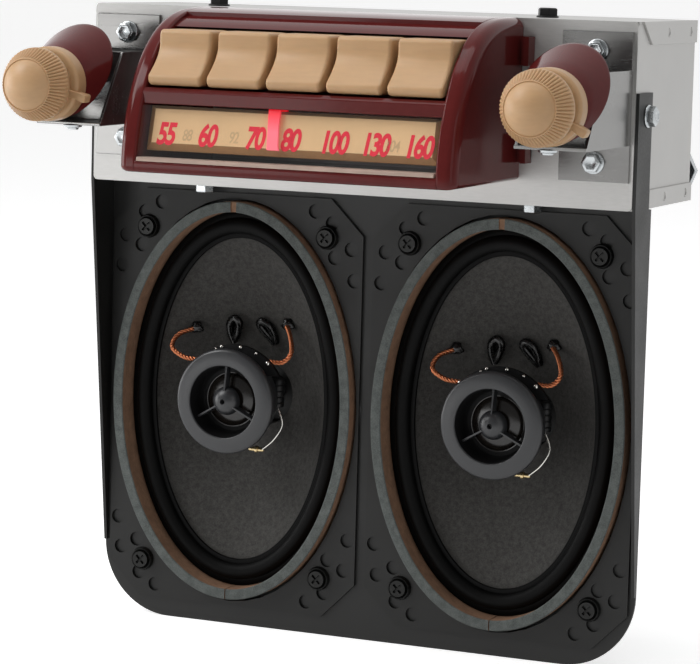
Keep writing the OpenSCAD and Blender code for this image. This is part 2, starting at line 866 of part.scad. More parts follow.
// Red pointer that hooks over the scale to a carriage on the rail
module pointer() {
    rail = dial_at(rail_n, rail_s);
    in_frame("Red") translate([pointer_x, 0, 0]) difference() {
        union() {
            along_x(-pointer_w / 2, pointer_w / 2) polygon([
                dial_at(pointer_n, -pointer_rise),
                dial_at(pointer_n, pointer_drop),
                dial_at(pointer_n + pointer_t, pointer_drop),
                dial_at(pointer_n + pointer_t, bridge_t - pointer_rise),
                dial_at(carriage_n[0] + join, bridge_t - pointer_rise),
                dial_at(carriage_n[0] + join, -pointer_rise)
            ]);
            along_x(-carriage_w / 2, carriage_w / 2) polygon([
                dial_at(carriage_n[0], -pointer_rise),
                dial_at(carriage_n[0], carriage_foot),
                dial_at(carriage_n[1], carriage_foot),
                dial_at(carriage_n[1], -pointer_rise)
            ]);
        }
        translate([0, rail[0], rail[1]]) rod_x(rail_r + running_gap, -carriage_w, carriage_w);
    }
}

module pointer_rail() {
    rail = dial_at(rail_n, rail_s);
    in_frame(zinc) translate([0, rail[0], rail[1]]) rod_x(rail_r, -rim_in - rail_seat, rim_in + rail_seat);
}

// Buttons

function button_x(i) = (i - (button_count - 1) / 2) * button_pitch;

module button_guide() {
    in_frame(black) {
        block(
            [-rim_in + moving_gap, -guide_t, button_foot - moving_gap],
            [rim_in - moving_gap, 0, button_top]
        );
        for (i = [0 : button_count - 1])
            translate([button_x(i), 0, button_mid])
                block([-post_w / 2, -post_tip, -post_h / 2], [post_w / 2, -guide_t + join, post_h / 2]);
    }
}

// Side outline of a button: a rounded lip, a finger hollow and a rounded crown
function button_section(inset) =
    let (
        lip = -button_lip_d + inset,
        foot = button_foot + inset,
        top = button_top - inset,
        lip_r = button_lip_r - inset / 2,
        crown_r = button_crown_r - inset / 2,
        turn = 150,
        start = [lip + lip_r + lip_r * cos(turn), foot + lip_r + lip_r * sin(turn)],
        end = [lip + button_hollow_d, top - button_crown_band],
        steps = 8
    )
    concat(
        [[-button_back, foot]],
        [for (a = [270 : -20 : turn]) [lip + lip_r + lip_r * cos(a), foot + lip_r + lip_r * sin(a)]],
        [for (i = [1 : steps])
            let (t = i / steps)
            [start[0] + (end[0] - start[0]) * sin(90 * t), start[1] + (end[1] - start[1]) * t]],
        [for (a = [180 : -30 : 90]) [end[0] + crown_r + crown_r * cos(a), top - crown_r + crown_r * sin(a)]],
        [[-button_back, top]]
    );

function button_ring(x, inset) = [for (p = button_section(inset)) [x, p[0], p[1]]];

module button(i) {
    half = button_w / 2;
    pocket_w = post_w + 2 * moving_gap;
    pocket_h = post_h + 2 * moving_gap;
    pocket_end = post_tip + button_travel + moving_gap;
    in_frame(tan_plastic) translate([button_x(i), 0, 0]) difference() {
        loft(concat(
            [for (a = [0, 45, 90]) button_ring(-half + button_side_r * (1 - cos(a)), button_side_r * (1 - sin(a)))],
            [for (a = [90, 45, 0]) button_ring(half - button_side_r * (1 - cos(a)), button_side_r * (1 - sin(a)))]
        ));
        translate([0, 0, button_mid])
            block([-pocket_w / 2, -pocket_end, -pocket_h / 2], [pocket_w / 2, 0, pocket_h / 2]);
    }
}

module button_1() { button(0); }
module button_2() { button(1); }
module button_3() { button(2); }
module button_4() { button(3); }
module button_5() { button(4); }

// Dash arms

module arm_screw_places() {
    for (sx = [-1, 1], sz = [-1, 1])
        translate([sx * arm_span / 2, 0, arm_z + sz * arm_screw_span / 2]) children();
}

// Folded channel with two screw lugs; its front edge follows the slope of the dash
module arm(side) {
    top_y = -dash_reach + dash_lean * (arm_high - shaft_z);
    low_y = -dash_reach + dash_lean * (arm_low - shaft_z);
    half = arm_w / 2;
    window = half - 3 * arm_t;
    in_frame(steel) difference() {
        translate([side * arm_span / 2, 0, 0]) {
            difference() {
                along_y(-arm_t, 0) translate([0, arm_z]) square([arm_w, arm_foot_h], center = true);
                block([-window, -2 * arm_t, arm_low + arm_t], [window, 1, arm_high]);
            }
            for (s = [0, 1]) mirror([s, 0, 0]) along_x(half - arm_t, half) polygon([
                [0, arm_low], [low_y, arm_low], [top_y, arm_high], [0, arm_high]
            ]);
            block([-half, low_y, arm_low], [half, 0, arm_low + arm_t]);
            block([-half, -web_y, arm_low], [half, -web_back, arm_high]);
        }
        arm_screw_places() rod_y(hex_screw_r + screw_gap, -2 * arm_t, 1);
        translate([side * shaft_span / 2, 0, shaft_z]) rod_y(bushing_r + screw_gap, -web_y - 1, -web_back + 1);
    }
}

module arm_left() { arm(-1); }
module arm_right() { arm(1); }

module arm_screws() {
    in_frame(zinc) arm_screw_places()
        translate([0, -arm_t, 0]) rotate([90, 0, 0]) hex_screw(hex_shank_l);
}

// Concentric controls

module on_shaft(side, tint) {
    in_frame(tint) translate([side * shaft_span / 2, 0, shaft_z]) children();
}

// Control body behind the web, with the long bushing that reaches through the dash
module control(side) {
    on_shaft(side, zinc) difference() {
        union() {
            rod_y(control_r, -web_back, -web_back + control_d);
            rod_y(bushing_r, -bushing_tip, -web_back + join);
        }
        rod_y(sleeve_r + running_gap, -bushing_tip - 1, -sleeve_tail + 1);
        rod_y(shaft_r + running_gap, -bushing_tip - 1, -shaft_tail + 1);
    }
}

module control_left() { control(-1); }
module control_right() { control(1); }

module control_nuts() {
    for (side = [-1, 1]) on_shaft(side, zinc) difference() {
        translate([0, -web_y, 0]) rotate([90, 0, 0]) cylinder(d = nut_af / cos(30), h = nut_t, $fn = 6);
        rod_y(bushing_r + running_gap, -web_y - nut_t - 1, 0);
    }
}

module shaft(side) {
    on_shaft(side, zinc) rod_y(shaft_r, -knob_edge + 1.5, -shaft_tail);
}

module shaft_left() { shaft(-1); }
module shaft_right() { shaft(1); }

module sleeve(side) {
    on_shaft(side, zinc) difference() {
        rod_y(sleeve_r, -ring_front + 0.5, -sleeve_tail);
        rod_y(sleeve_in, -ring_front - 1, -sleeve_tail + 1);
    }
}

module sleeve_left() { sleeve(-1); }
module sleeve_right() { sleeve(1); }

// Lever ring: a dished disc with a rounded edge and one finger tab
module lever_ring(side, angle) {
    dish_r = ring_r - 3;
    dish_d = 2;
    tab_y = -ring_front + 0.8;
    on_shaft(side, tan_plastic) difference() {
        union() {
            turned() polygon(concat(
                [[sleeve_r + running_gap, -ring_back], [ring_r - 0.6, -ring_back], [ring_r, -ring_back - 0.6]],
                [for (a = [0 : 22.5 : 90])
                    [ring_r - ring_round * (1 - cos(a)), -ring_front + ring_round * (1 - sin(a))]],
                [[dish_r, -ring_front], [dish_r - 1, -ring_front + dish_d],
                    [sleeve_r + running_gap, -ring_front + dish_d]]
            ));
            rotate([0, angle, 0]) {
                block(
                    [dish_r + 1, tab_y, -lever_w / 2],
                    [ring_r + lever_reach - lever_w / 2, tab_y + lever_d, lever_w / 2]
                );
                translate([ring_r + lever_reach - lever_w / 2, 0, 0]) rod_y(lever_w / 2, tab_y, tab_y + lever_d);
            }
        }
        rod_y(sleeve_r + running_gap, -ring_front - 1, -ring_back + 1);
    }
}

module ring_left() { lever_ring(-1, left_lever_angle); }
module ring_right() { lever_ring(1, right_lever_angle); }

function flute_ring(r, y, groove) = [
    for (i = [0 : 2 * knob_flutes - 1])
        let (a = 180 * i / knob_flutes, q = r - (i % 2) * groove)
        [q * cos(a), y, q * sin(a)]
];

// Knob with a smooth dome on a fluted, tapering skirt
module knob(side) {
    dome_ball_r = (knob_dome_r * knob_dome_r + knob_dome_h * knob_dome_h) / (2 * knob_dome_h);
    dome_arc = asin(knob_dome_r / dome_ball_r);
    dome_steps = 8;
    hub_r = shaft_r + 3;
    core_r = knob_dome_r - 1;
    wall = 1.6;
    seam = 0.3;
    floor_y = -knob_back - knob_rim_d / 2;
    face_y = -knob_edge;
    rim_y = -knob_back - knob_rim_d;
    skirt_top_r = knob_dome_r + flute_d + seam;
    on_shaft(side, tan_plastic) difference() {
        union() {
            turned() polygon(concat(
                [[0, floor_y], [core_r, floor_y], [core_r, face_y + 1], [knob_dome_r, face_y + 1]],
                [for (i = [0 : dome_steps])
                    let (a = dome_arc * (1 - i / dome_steps))
                    [dome_ball_r * sin(a), face_y - dome_ball_r * (cos(a) - cos(dome_arc))]]
            ));
            turned() polygon([
                [hub_r, floor_y], [knob_r - wall, floor_y], [knob_r - wall, -knob_back],
                [knob_r, -knob_back], [knob_r, rim_y], [knob_r - seam, rim_y - seam], [hub_r, rim_y - seam]
            ]);
            loft([
                flute_ring(knob_r - seam, rim_y, flute_d),
                flute_ring(skirt_top_r, face_y + seam, flute_d),
                flute_ring(hub_r - 1, face_y + seam, 0),
                flute_ring(hub_r - 1, rim_y, 0)
            ], closed = true);
            rod_y(hub_r - seam, floor_y - join, -ring_front - 1);
        }
        rod_y(shaft_r + running_gap, -knob_edge + 1.4, 0);
    }
}

module knob_left() { knob(-1); }
module knob_right() { knob(1); }

// Escutcheon cup: a flared cone whose rim is cut along the slope of the dash
module cup(side) {
    deep = 40;
    front = -cup_front_y;
    rim_y = -dash_reach - cup_stand_off;
    wide = cup_front_r + cup_flare * deep;
    on_shaft(side, maroon) difference() {
        translate([0, front, 0]) rotate([-90, 0, 0]) cylinder(r1 = cup_front_r, r2 = wide, h = deep);
        translate([0, front + cup_t, 0]) rotate([-90, 0, 0])
            cylinder(r1 = cup_front_r + cup_flare * cup_t - cup_t, r2 = wide - cup_t, h = deep);
        rod_y(bushing_r + running_gap, front - 1, front + 2 * cup_t);
        translate([0, rim_y, 0]) rotate([-dash_slope, 0, 0])
            block([-4 * wide, 0, -4 * wide], [4 * wide, 4 * wide, 4 * wide]);
    }
}

module cup_left() { cup(-1); }
module cup_right() { cup(1); }

// Speaker bracket

// Screw places of one speaker frame, from its middle
module speaker_screw_places() {
    for (sx = [-1, 1], sz = [-1, 1])
        translate([sx * (speaker_w / 2 - screw_dx), 0, sz * (speaker_h / 2 - screw_dz)]) children();
}

module at_speaker(side) {
    translate([side * speaker_x, flange_y, speaker_z]) children();
}

module speaker_bracket() {
    taper_foot = bracket_foot + bracket_corner_r;
    plate_back = bracket_y + bracket_t;
    in_frame(black) difference() {
        union() {
            along_y(bracket_y, plate_back) {
                translate([-bracket_side, taper_foot]) square([2 * bracket_side, bracket_head - taper_foot]);
                translate([-bracket_side + bracket_corner_r, bracket_foot])
                    square([2 * (bracket_side - bracket_corner_r), bracket_corner_r + join]);
                for (s = [-1, 1])
                    translate([s * (bracket_side - bracket_corner_r), taper_foot]) circle(bracket_corner_r);
            }
            for (s = [0, 1]) mirror([s, 0, 0]) along_x(chassis_side, bracket_side) polygon([
                [ear_front, ear_top],
                [ear_d, ear_top],
                [ear_d, -chassis_top],
                [plate_back, bracket_head],
                [plate_back, taper_foot],
                [bracket_y - bracket_t, taper_foot],
                [ear_front, -chassis_top]
            ]);
        }
        for (side = [-1, 1]) at_speaker(side) {
            along_y(0, 10) oval(pocket_a + pocket_t + cutout_gap, pocket_b + pocket_t + cutout_gap);
            speaker_screw_places() rod_y(speaker_screw_r + screw_gap, 0, 10);
        }
        translate([0, ear_screw_y, ear_screw_z]) rod_x(hex_screw_r + screw_gap, -bracket_side - 1, bracket_side + 1);
    }
}

module bracket_screws() {
    in_frame(zinc) for (s = [0, 1]) mirror([s, 0, 0])
        translate([bracket_side, ear_screw_y, ear_screw_z]) rotate([0, 90, 0]) hex_screw(hex_shank_l);
}

// Cross-head screws that sit in the cup washers
module speaker_screws() {
    slot_w = 0.9;
    slot_d = 1;
    seat = -washer_t;
    in_frame(black) for (side = [-1, 1]) at_speaker(side) speaker_screw_places() difference() {
        union() {
            rod_y(cross_head_r, seat - cross_head_h, seat);
            rod_y(speaker_screw_r, seat - join, frame_t + bracket_t + 4);
        }
        for (a = [0, 90]) rotate([0, a + 45, 0])
            block([-cross_head_r * 0.7, seat - 2 * cross_head_h, -slot_w / 2],
                [cross_head_r * 0.7, seat - cross_head_h + slot_d, slot_w / 2]);
    }
}

module cup_washers() {
    in_frame(black) for (side = [-1, 1]) at_speaker(side) speaker_screw_places() turned() polygon([
        [speaker_screw_r + screw_gap, 0],
        [washer_r, 0],
        [washer_r - 0.5, -washer_t - 0.7],
        [cross_head_r + 0.3, -washer_t - 0.3],
        [cross_head_r + 0.1, -washer_t],
        [speaker_screw_r + screw_gap, -washer_t]
    ]);
}

// Speakers, each modelled about its middle with its flange's face at zero depth

module speaker_piece(side, tint) {
    in_frame(tint) at_speaker(side) children();
}

// Eight-sided flange with round spare holes at each corner
module frame_flange() {
    w = speaker_w / 2;
    h = speaker_h / 2;
    c = frame_chamfer;
    difference() {
        polygon([
            [w - c, h], [w, h - c], [w, c - h], [w - c, -h],
            [c - w, -h], [-w, c - h], [-w, h - c], [c - w, h]
        ]);
        oval(pocket_a, pocket_b);
        for (sx = [-1, 1], sz = [-1, 1], p = spare_holes)
            translate([sx * (w - p[0]), sz * (h - p[1])]) circle(spare_hole_r);
    }
}

// Flat oval band between an inner oval and an outer one
module oval_band(outer_a, outer_b, inner_a, inner_b) {
    difference() {
        oval(outer_a, outer_b);
        oval(inner_a, inner_b);
    }
}

// Pressed frame: flange, gasket pocket with the surround's seat, tapering basket with four windows, spider
// landing and the motor's front plate
module frame(side) {
    seat_back = seat_d + frame_t;
    window_y0 = seat_back + 0.2 * (basket_d - seat_back);
    window_y1 = spider_y - 1;
    back_r = basket_back_r;
    wall_a = pocket_a + pocket_t;
    wall_b = pocket_b + pocket_t;
    speaker_piece(side, black) difference() {
        union() {
            along_y(0, frame_t) frame_flange();
            along_y(0, seat_back) oval_band(wall_a, wall_b, pocket_a, pocket_b);
            along_y(seat_d, seat_back) oval_band(wall_a, wall_b, frame_a, frame_b);
            difference() {
                loft([
                    oval_ring(frame_a + frame_t, frame_b + frame_t, seat_back - 0.4),
                    oval_ring(back_r, back_r, plate_y)
                ]);
                loft([
                    oval_ring(frame_a, frame_b, seat_back - 0.6),
                    oval_ring(frame_a, frame_b, seat_back - 0.4),
                    oval_ring(back_r - frame_t, back_r - frame_t, basket_d)
                ]);
                for (a = [45, 135]) rotate([0, a, 0])
                    block([-2 * back_r, window_y0, -back_r / 2], [2 * back_r, window_y1, back_r / 2]);
            }
            turned() polygon([
                [landing_r, spider_y],
                [landing_r + landing_w, spider_y],
                [landing_r + landing_w, basket_d + join],
                [landing_r, basket_d + join]
            ]);
            rod_y(magnet_r - 1, plate_y - join, magnet_y);
        }
        rod_y(former_r + coil_gap, basket_d - 1, magnet_y + 1);
        speaker_screw_places() rod_y(speaker_screw_r + screw_gap, -1, frame_t + 1);
    }
}

module frame_left() { frame(-1); }
module frame_right() { frame(1); }

// Fibre gasket in two halves
module gasket(side) {
    speaker_piece(side, "DarkSlateGray") along_y(-gasket_t, seat_d) difference() {
        oval(gasket_a, gasket_b);
        oval(gasket_a - gasket_band, gasket_b - gasket_band);
        translate([-gap_top / 2, 0]) square([gap_top, gasket_b]);
        translate([-gap_foot / 2, -gasket_b]) square([gap_foot, gasket_b]);
    }
}

module gasket_left() { gasket(-1); }
module gasket_right() { gasket(1); }

// Rubber half roll with a glued flat outside and inside
module surround(side) {
    mid = surround_edge + roll_w / 2;
    outer = [for (a = [0 : 30 : 180]) [mid - roll_w / 2 * cos(a), -surround_t - roll_h * sin(a)]];
    inner_roll = roll_w / 2 - surround_t;
    inner = [for (a = [180 : -30 : 0]) [mid - inner_roll * cos(a), -(roll_h - 0.2) * sin(a)]];
    profile = concat(
        [[0, 0], [0, -surround_t]],
        outer,
        [[surround_edge + roll_w + cone_lip, -surround_t], [surround_edge + roll_w + cone_lip, 0]],
        inner
    );
    speaker_piece(side, rubber)
        loft([for (p = profile) oval_ring(surround_a - p[0], surround_b - p[0], seat_d + p[1])], closed = true);
}

module surround_left() { surround(-1); }
module surround_right() { surround(1); }

// Depth of the cone's face, and its half width and half height, from the edge at 0 to the neck at 1
function cone_depth(t) = cone_y + cone_d * pow(t, 0.85);
function cone_ring(t, end_r, back) = oval_ring(
    cone_a + (end_r - cone_a) * t, cone_b + (end_r - cone_b) * t, cone_depth(t) + back
);

// Paper cone and its voice-coil former, drawn as one wall from the edge to the coil and back
module cone(side) {
    steps = 6;
    back = 1.6 * cone_t;
    coil_r = former_r - former_t;
    speaker_piece(side, "DarkSlateGray") loft(concat(
        [oval_ring(cone_a, cone_b, cone_y)],
        [for (i = [1 : steps]) cone_ring(i / steps, coil_r, 0)],
        [oval_ring(coil_r, coil_r, former_tail), oval_ring(former_r, former_r, former_tail)],
        [for (i = [steps : -1 : 1]) cone_ring(i / steps, former_r, back)],
        [oval_ring(cone_a, cone_b, cone_y + cone_t)]
    ), closed = true);
}

module cone_left() { cone(-1); }
module cone_right() { cone(1); }

// Corrugated spider that centres the former
module spider(side) {
    inner_r = former_r + 0.35;
    outer_r = landing_r + landing_w;
    waves = 3;
    steps = 6 * waves;
    wave = 0.8;
    thick = 0.6;
    span = landing_r - inner_r - 0.6;
    points = [for (i = [0 : steps])
        [inner_r + span * i / steps, spider_y - 1.6 + wave * cos(360 * waves * i / steps)]];
    speaker_piece(side, "BurlyWood") turned() polygon(concat(
        points,
        [[landing_r, spider_y - thick], [outer_r, spider_y - thick], [outer_r, spider_y], [landing_r, spider_y]],
        [for (i = [steps : -1 : 0]) points[i] + [0, thick]]
    ));
}

module spider_left() { spider(-1); }
module spider_right() { spider(1); }

module magnet(side) {
    speaker_piece(side, "DimGray") difference() {
        rod_y(magnet_r, magnet_y, yoke_y);
        rod_y(magnet_hole_r, magnet_y - 1, yoke_y + 1);
    }
}

module magnet_left() { magnet(-1); }
module magnet_right() { magnet(1); }

// Back plate and pole in one piece, bored for the tweeter's wires
module yoke(side) {
    vent_r = post_r - 1;
    speaker_piece(side, zinc) difference() {
        union() {
            rod_y(magnet_r - 2, yoke_y, yoke_y + yoke_t);
            rod_y(pole_r, plate_y, yoke_y + join);
        }
        rod_y(vent_r, plate_y - 1, yoke_y + yoke_t + 1);
    }
}

module yoke_left() { yoke(-1); }
module yoke_right() { yoke(1); }

// Coaxial tweeter on its post: rounded horn ring, diaphragm, and a bullet on three spokes
module tweeter(side) {
    lip_r = (tweeter_r - mouth_r) / 2;
    lip_y = -tweeter_front + lip_r;
    bowl_y = -1.2;
    back_y = 4;
    dome_r = mouth_r - 3.5;
    bullet_back = bowl_y - 2.6;
    spoke_w = 0.9;
    spoke_d = 2.6;
    speaker_piece(side, black) difference() {
        union() {
            turned() polygon(concat(
                [[0, plate_y], [post_r, plate_y], [post_r, back_y], [tweeter_r - 3, back_y], [tweeter_r, 1.5]],
                [for (a = [0 : 20 : 180])
                    [tweeter_r - lip_r + lip_r * cos(a), lip_y - lip_r * sin(a)]],
                [[mouth_r - 0.8, bowl_y - 1], [mouth_r - 1.6, bowl_y], [dome_r, bowl_y]],
                [for (a = [20 : 20 : 80]) [dome_r * cos(a), bowl_y - 2 * sin(a)]],
                [[0, bowl_y - 2]]
            ));
            turned() polygon(concat(
                [[0, bullet_back], [bullet_r * 0.6, bullet_back], [bullet_r, bullet_back - 1.4]],
                [for (a = [20 : 20 : 80])
                    [bullet_r * cos(a), bullet_back - 1.4 - (tweeter_front + bullet_back - 1.4) * sin(a)]],
                [[0, -tweeter_front]]
            ));
            for (a = [90, 210, 330]) rotate([0, -a, 0])
                block([bullet_r * 0.6, bullet_back - 1.2 - spoke_d, -spoke_w / 2],
                    [mouth_r + 1, bullet_back - 1.2, spoke_w / 2]);
            intersection() {
                rod_y(terminal_r, terminal_y, terminal_y + terminal_t);
                block([-terminal_r, 0, terminal_r / 2], [terminal_r, 10, terminal_r]);
            }
        }
        rod_y(1, -tweeter_front - 1, -tweeter_front + 3);
    }
}

module tweeter_left() { tweeter(-1); }
module tweeter_right() { tweeter(1); }

// Two braided leads from the tweeter's terminals to the cone
module leads(side) {
    speaker_piece(side, "Peru") for (route = lead_routes) tube(smooth_route(route, 4), lead_r);
}

module leads_left() { leads(-1); }
module leads_right() { leads(1); }

// Capacitor behind the tweeter, with its wire to the lower terminal
module capacitor(side) {
    speaker_piece(side, "Black") {
        translate([wire_route[0][0], wire_route[0][1], wire_route[0][2]]) cylinder(r = capacitor_r, h = capacitor_l);
        tube(concat([wire_route[0] + [0, 0, join]], smooth_route(wire_route, 3)), wire_r, 6);
    }
}

module capacitor_left() { capacitor(-1); }
module capacitor_right() { capacitor(1); }

front_panel();
chassis_wrap();
top_cover();
bottom_cover();
case_screws();
rear_strap();
antenna_socket();
power_socket();
bezel();
dial_window();
dial_scale();
pointer();
pointer_rail();
button_guide();
button_1();
button_2();
button_3();
button_4();
button_5();
arm_left();
arm_right();
arm_screws();
control_left();
control_right();
control_nuts();
shaft_left();
shaft_right();
sleeve_left();
sleeve_right();
ring_left();
ring_right();
knob_left();
knob_right();
cup_left();
cup_right();
speaker_bracket();
bracket_screws();
speaker_screws();
cup_washers();
frame_left();
frame_right();
gasket_left();
gasket_right();
surround_left();
surround_right();
cone_left();
cone_right();
spider_left();
spider_right();
magnet_left();
magnet_right();
yoke_left();
yoke_right();
tweeter_left();
tweeter_right();
leads_left();
leads_right();
capacitor_left();
capacitor_right();
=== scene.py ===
import json
import math
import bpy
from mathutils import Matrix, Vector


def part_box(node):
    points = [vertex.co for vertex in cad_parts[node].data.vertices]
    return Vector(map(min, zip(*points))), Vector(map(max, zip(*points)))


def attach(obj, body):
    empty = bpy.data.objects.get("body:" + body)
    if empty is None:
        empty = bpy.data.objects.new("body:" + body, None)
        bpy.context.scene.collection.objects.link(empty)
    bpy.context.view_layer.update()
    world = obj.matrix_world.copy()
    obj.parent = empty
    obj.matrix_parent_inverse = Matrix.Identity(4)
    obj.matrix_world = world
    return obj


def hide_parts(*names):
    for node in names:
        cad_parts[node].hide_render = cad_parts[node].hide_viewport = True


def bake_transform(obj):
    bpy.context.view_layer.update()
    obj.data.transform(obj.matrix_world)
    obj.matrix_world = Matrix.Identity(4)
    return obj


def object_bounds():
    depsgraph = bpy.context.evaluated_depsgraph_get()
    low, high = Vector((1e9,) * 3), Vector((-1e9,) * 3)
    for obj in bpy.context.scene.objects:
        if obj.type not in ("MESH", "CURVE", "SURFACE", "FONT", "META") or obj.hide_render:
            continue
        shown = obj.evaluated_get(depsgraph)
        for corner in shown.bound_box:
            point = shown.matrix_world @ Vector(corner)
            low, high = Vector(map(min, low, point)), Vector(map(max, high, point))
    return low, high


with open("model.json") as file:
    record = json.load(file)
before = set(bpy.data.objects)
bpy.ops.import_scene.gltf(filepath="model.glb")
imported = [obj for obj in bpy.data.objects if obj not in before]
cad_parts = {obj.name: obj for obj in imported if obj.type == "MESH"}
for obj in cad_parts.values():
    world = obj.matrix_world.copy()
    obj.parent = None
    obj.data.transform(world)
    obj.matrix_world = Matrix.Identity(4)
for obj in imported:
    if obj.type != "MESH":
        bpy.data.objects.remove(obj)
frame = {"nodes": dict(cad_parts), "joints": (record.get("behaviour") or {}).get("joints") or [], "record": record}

from types import SimpleNamespace

import bmesh
import bpy
from bpy.props import FloatProperty, FloatVectorProperty, PointerProperty
from bpy.types import Operator, Panel, PropertyGroup
from mathutils import Matrix, Vector

bl_info = {
    "name": "Dashboard car radio",
    "version": (1, 0, 0),
    "blender": (4, 5, 0),
    "location": "3D View > Sidebar > Car radio",
    "description": "Dresses the CAD frame of a push-button car radio with a pair of oval speakers",
    "category": "Object",
}

CAD_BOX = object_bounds()
MM = 0.001
# Middle of the chassis front in the part's frame; pieces are drawn from there in millimetres
CHASSIS_FRONT = Vector((0, 36, -4.8))
RADIO = "radio"
SIDES = (("left", -1), ("right", 1))
WELD = 1e-7
FLAT_ANGLE = math.radians(0.6)
CREASE_ANGLE = math.radians(35)
SLOTS = {part["node"]: part["material_slot"] for part in frame["record"]["subparts"]}
JOINTS = {joint["name"]: joint for joint in frame["joints"]}


# Sizes and colours that a user would change

def linear(code):
    """Linear colour of an sRGB hex value."""
    parts = [int(code[i:i + 2], 16) / 255 for i in (1, 3, 5)]
    return [p / 12.92 if p <= 0.04045 else ((p + 0.055) / 1.055) ** 2.4 for p in parts]


def length(name, mm, text):
    """Length property with its default in millimetres."""
    return FloatProperty(name=name, description=text, default=mm * MM, unit="LENGTH", precision=4)


def tint(name, code, text):
    """Colour property with its default as an sRGB hex value."""
    return FloatVectorProperty(
        name=name, description=text, default=linear(code), subtype="COLOR", size=3, min=0, max=1)


class RadioColours(PropertyGroup):
    """Colours of the radio's finishes"""
    steel: tint("Sheet steel", "#b4b3b1", "Galvanised sheet of the chassis and arms")
    zinc: tint("Zinc plate", "#b6babc", "Plated screws, shafts and fittings")
    maroon: tint("Maroon", "#591e1d", "Moulded bezel and escutcheon cups")
    caramel: tint("Caramel", "#bb966e", "Moulded buttons, knobs and lever rings")
    dial: tint("Dial", "#ecc492", "Printed dial scale")
    ink: tint("Dial ink", "#f0233e", "Printed numbers of the dial")
    pointer: tint("Pointer", "#ff2233", "Fluorescent pointer")
    enamel: tint("Black enamel", "#191918", "Speaker bracket and speaker frames")
    fibre: tint("Gasket fibre", "#5a5e5c", "Face of the speaker gaskets")
    card: tint("Gasket card", "#8a6c57", "Cut sides of the speaker gaskets")
    rubber: tint("Rubber", "#060606", "Speaker surrounds")
    paper: tint("Cone paper", "#454442", "Pulp of the speaker cones")
    plastic: tint("Black plastic", "#2c2d2f", "Tweeters, sockets and guides")
    copper: tint("Copper", "#c47a55", "Braided leads")
    cloth: tint("Spider cloth", "#a0793f", "Resin-dipped spider cloth")


class FrontSizes(PropertyGroup):
    """Sizes of the bezel, buttons and dial"""
    width: length("Bezel width", 125.4, "Width of the bezel")
    depth: length("Bezel depth", 60.2, "Depth of the bezel at its foot")
    rim: length("Rim width", 7.1, "Width of the bezel's side rims")
    rim_round: length("Rim radius", 4, "Radius on the outer edges of the side rims")
    rim_inner: length("Inner rim radius", 1, "Radius on the inner edges of the side rims")
    lip: length("Button lip", 54, "How far the buttons' lips stand in front of the chassis")
    hollow: length("Finger hollow", 8.5, "Depth of the finger hollow above a button's lip")
    button_gap: length("Button gap", 2.4, "Gap between two buttons")
    digit: length("Digit height", 7.3, "Height of the dial's numbers")


class ControlSizes(PropertyGroup):
    """Sizes of the knobs, lever rings and cups"""
    knob: length("Knob radius", 12.8, "Radius of the knobs")
    dome: length("Dome radius", 8.6, "Radius of the knobs' smooth dome")
    dome_rise: length("Dome height", 3.6, "Height of the knobs' dome")
    flute: length("Flute depth", 0.6, "Depth of the flutes on the knobs")
    ring: length("Ring radius", 13, "Radius of the lever rings")
    cup: length("Cup radius", 12.4, "Radius of the cups at their front")


class SpeakerSizes(PropertyGroup):
    """Sizes of the oval speakers"""
    gasket_a: length("Gasket half width", 48.3, "Half width of the gasket's outline")
    gasket_b: length("Gasket half height", 74, "Half height of the gasket's outline")
    band: length("Gasket band", 3.9, "Width of the gasket's band")
    stand: length("Gasket height", 3.7, "How far the gasket stands in front of the frame")
    seat: length("Seat depth", 5.5, "Depth of the surround's seat behind the frame's face")
    roll: length("Roll width", 6, "Width of the surround's half roll")
    roll_rise: length("Roll height", 3, "Height of the surround's half roll")
    cone_depth: length("Cone depth", 20, "Depth of the paper cone")
    tweeter: length("Tweeter radius", 19.5, "Radius of the tweeter")
    mouth: length("Mouth radius", 13.3, "Radius of the tweeter's mouth")
    lead: length("Lead radius", 0.9, "Radius of the braided leads")


def in_mm(group):
    """The group's lengths in millimetres."""
    return SimpleNamespace(**{name: getattr(group, name) / MM for name in group.__annotations__})


# Materials

def add_node(tree, kind, inputs=None, **settings):
    """Adds one node with its settings; an input takes a value or another node's output."""
    added = tree.nodes.new(kind)
    for name, value in settings.items():
        setattr(added, name, value)
    for name, value in (inputs or {}).items():
        if isinstance(value, bpy.types.NodeSocket):
            tree.links.new(value, added.inputs[name])
        else:
            added.inputs[name].default_value = value
    return added


def shade(colour, factor):
    """A colour made darker or lighter."""
    return [min(1.0, c * factor) for c in colour]


def opaque(colour):
    """A colour with full alpha, as the sockets take it."""
    return [*colour, 1.0]


# Range of two noises added up, which the colours and the gloss are spread over
NOISE_RANGE = {"From Min": 0.7, "From Max": 1.3}
NOISE_DETAIL = 3.0
BUMP_STRENGTH = 0.6


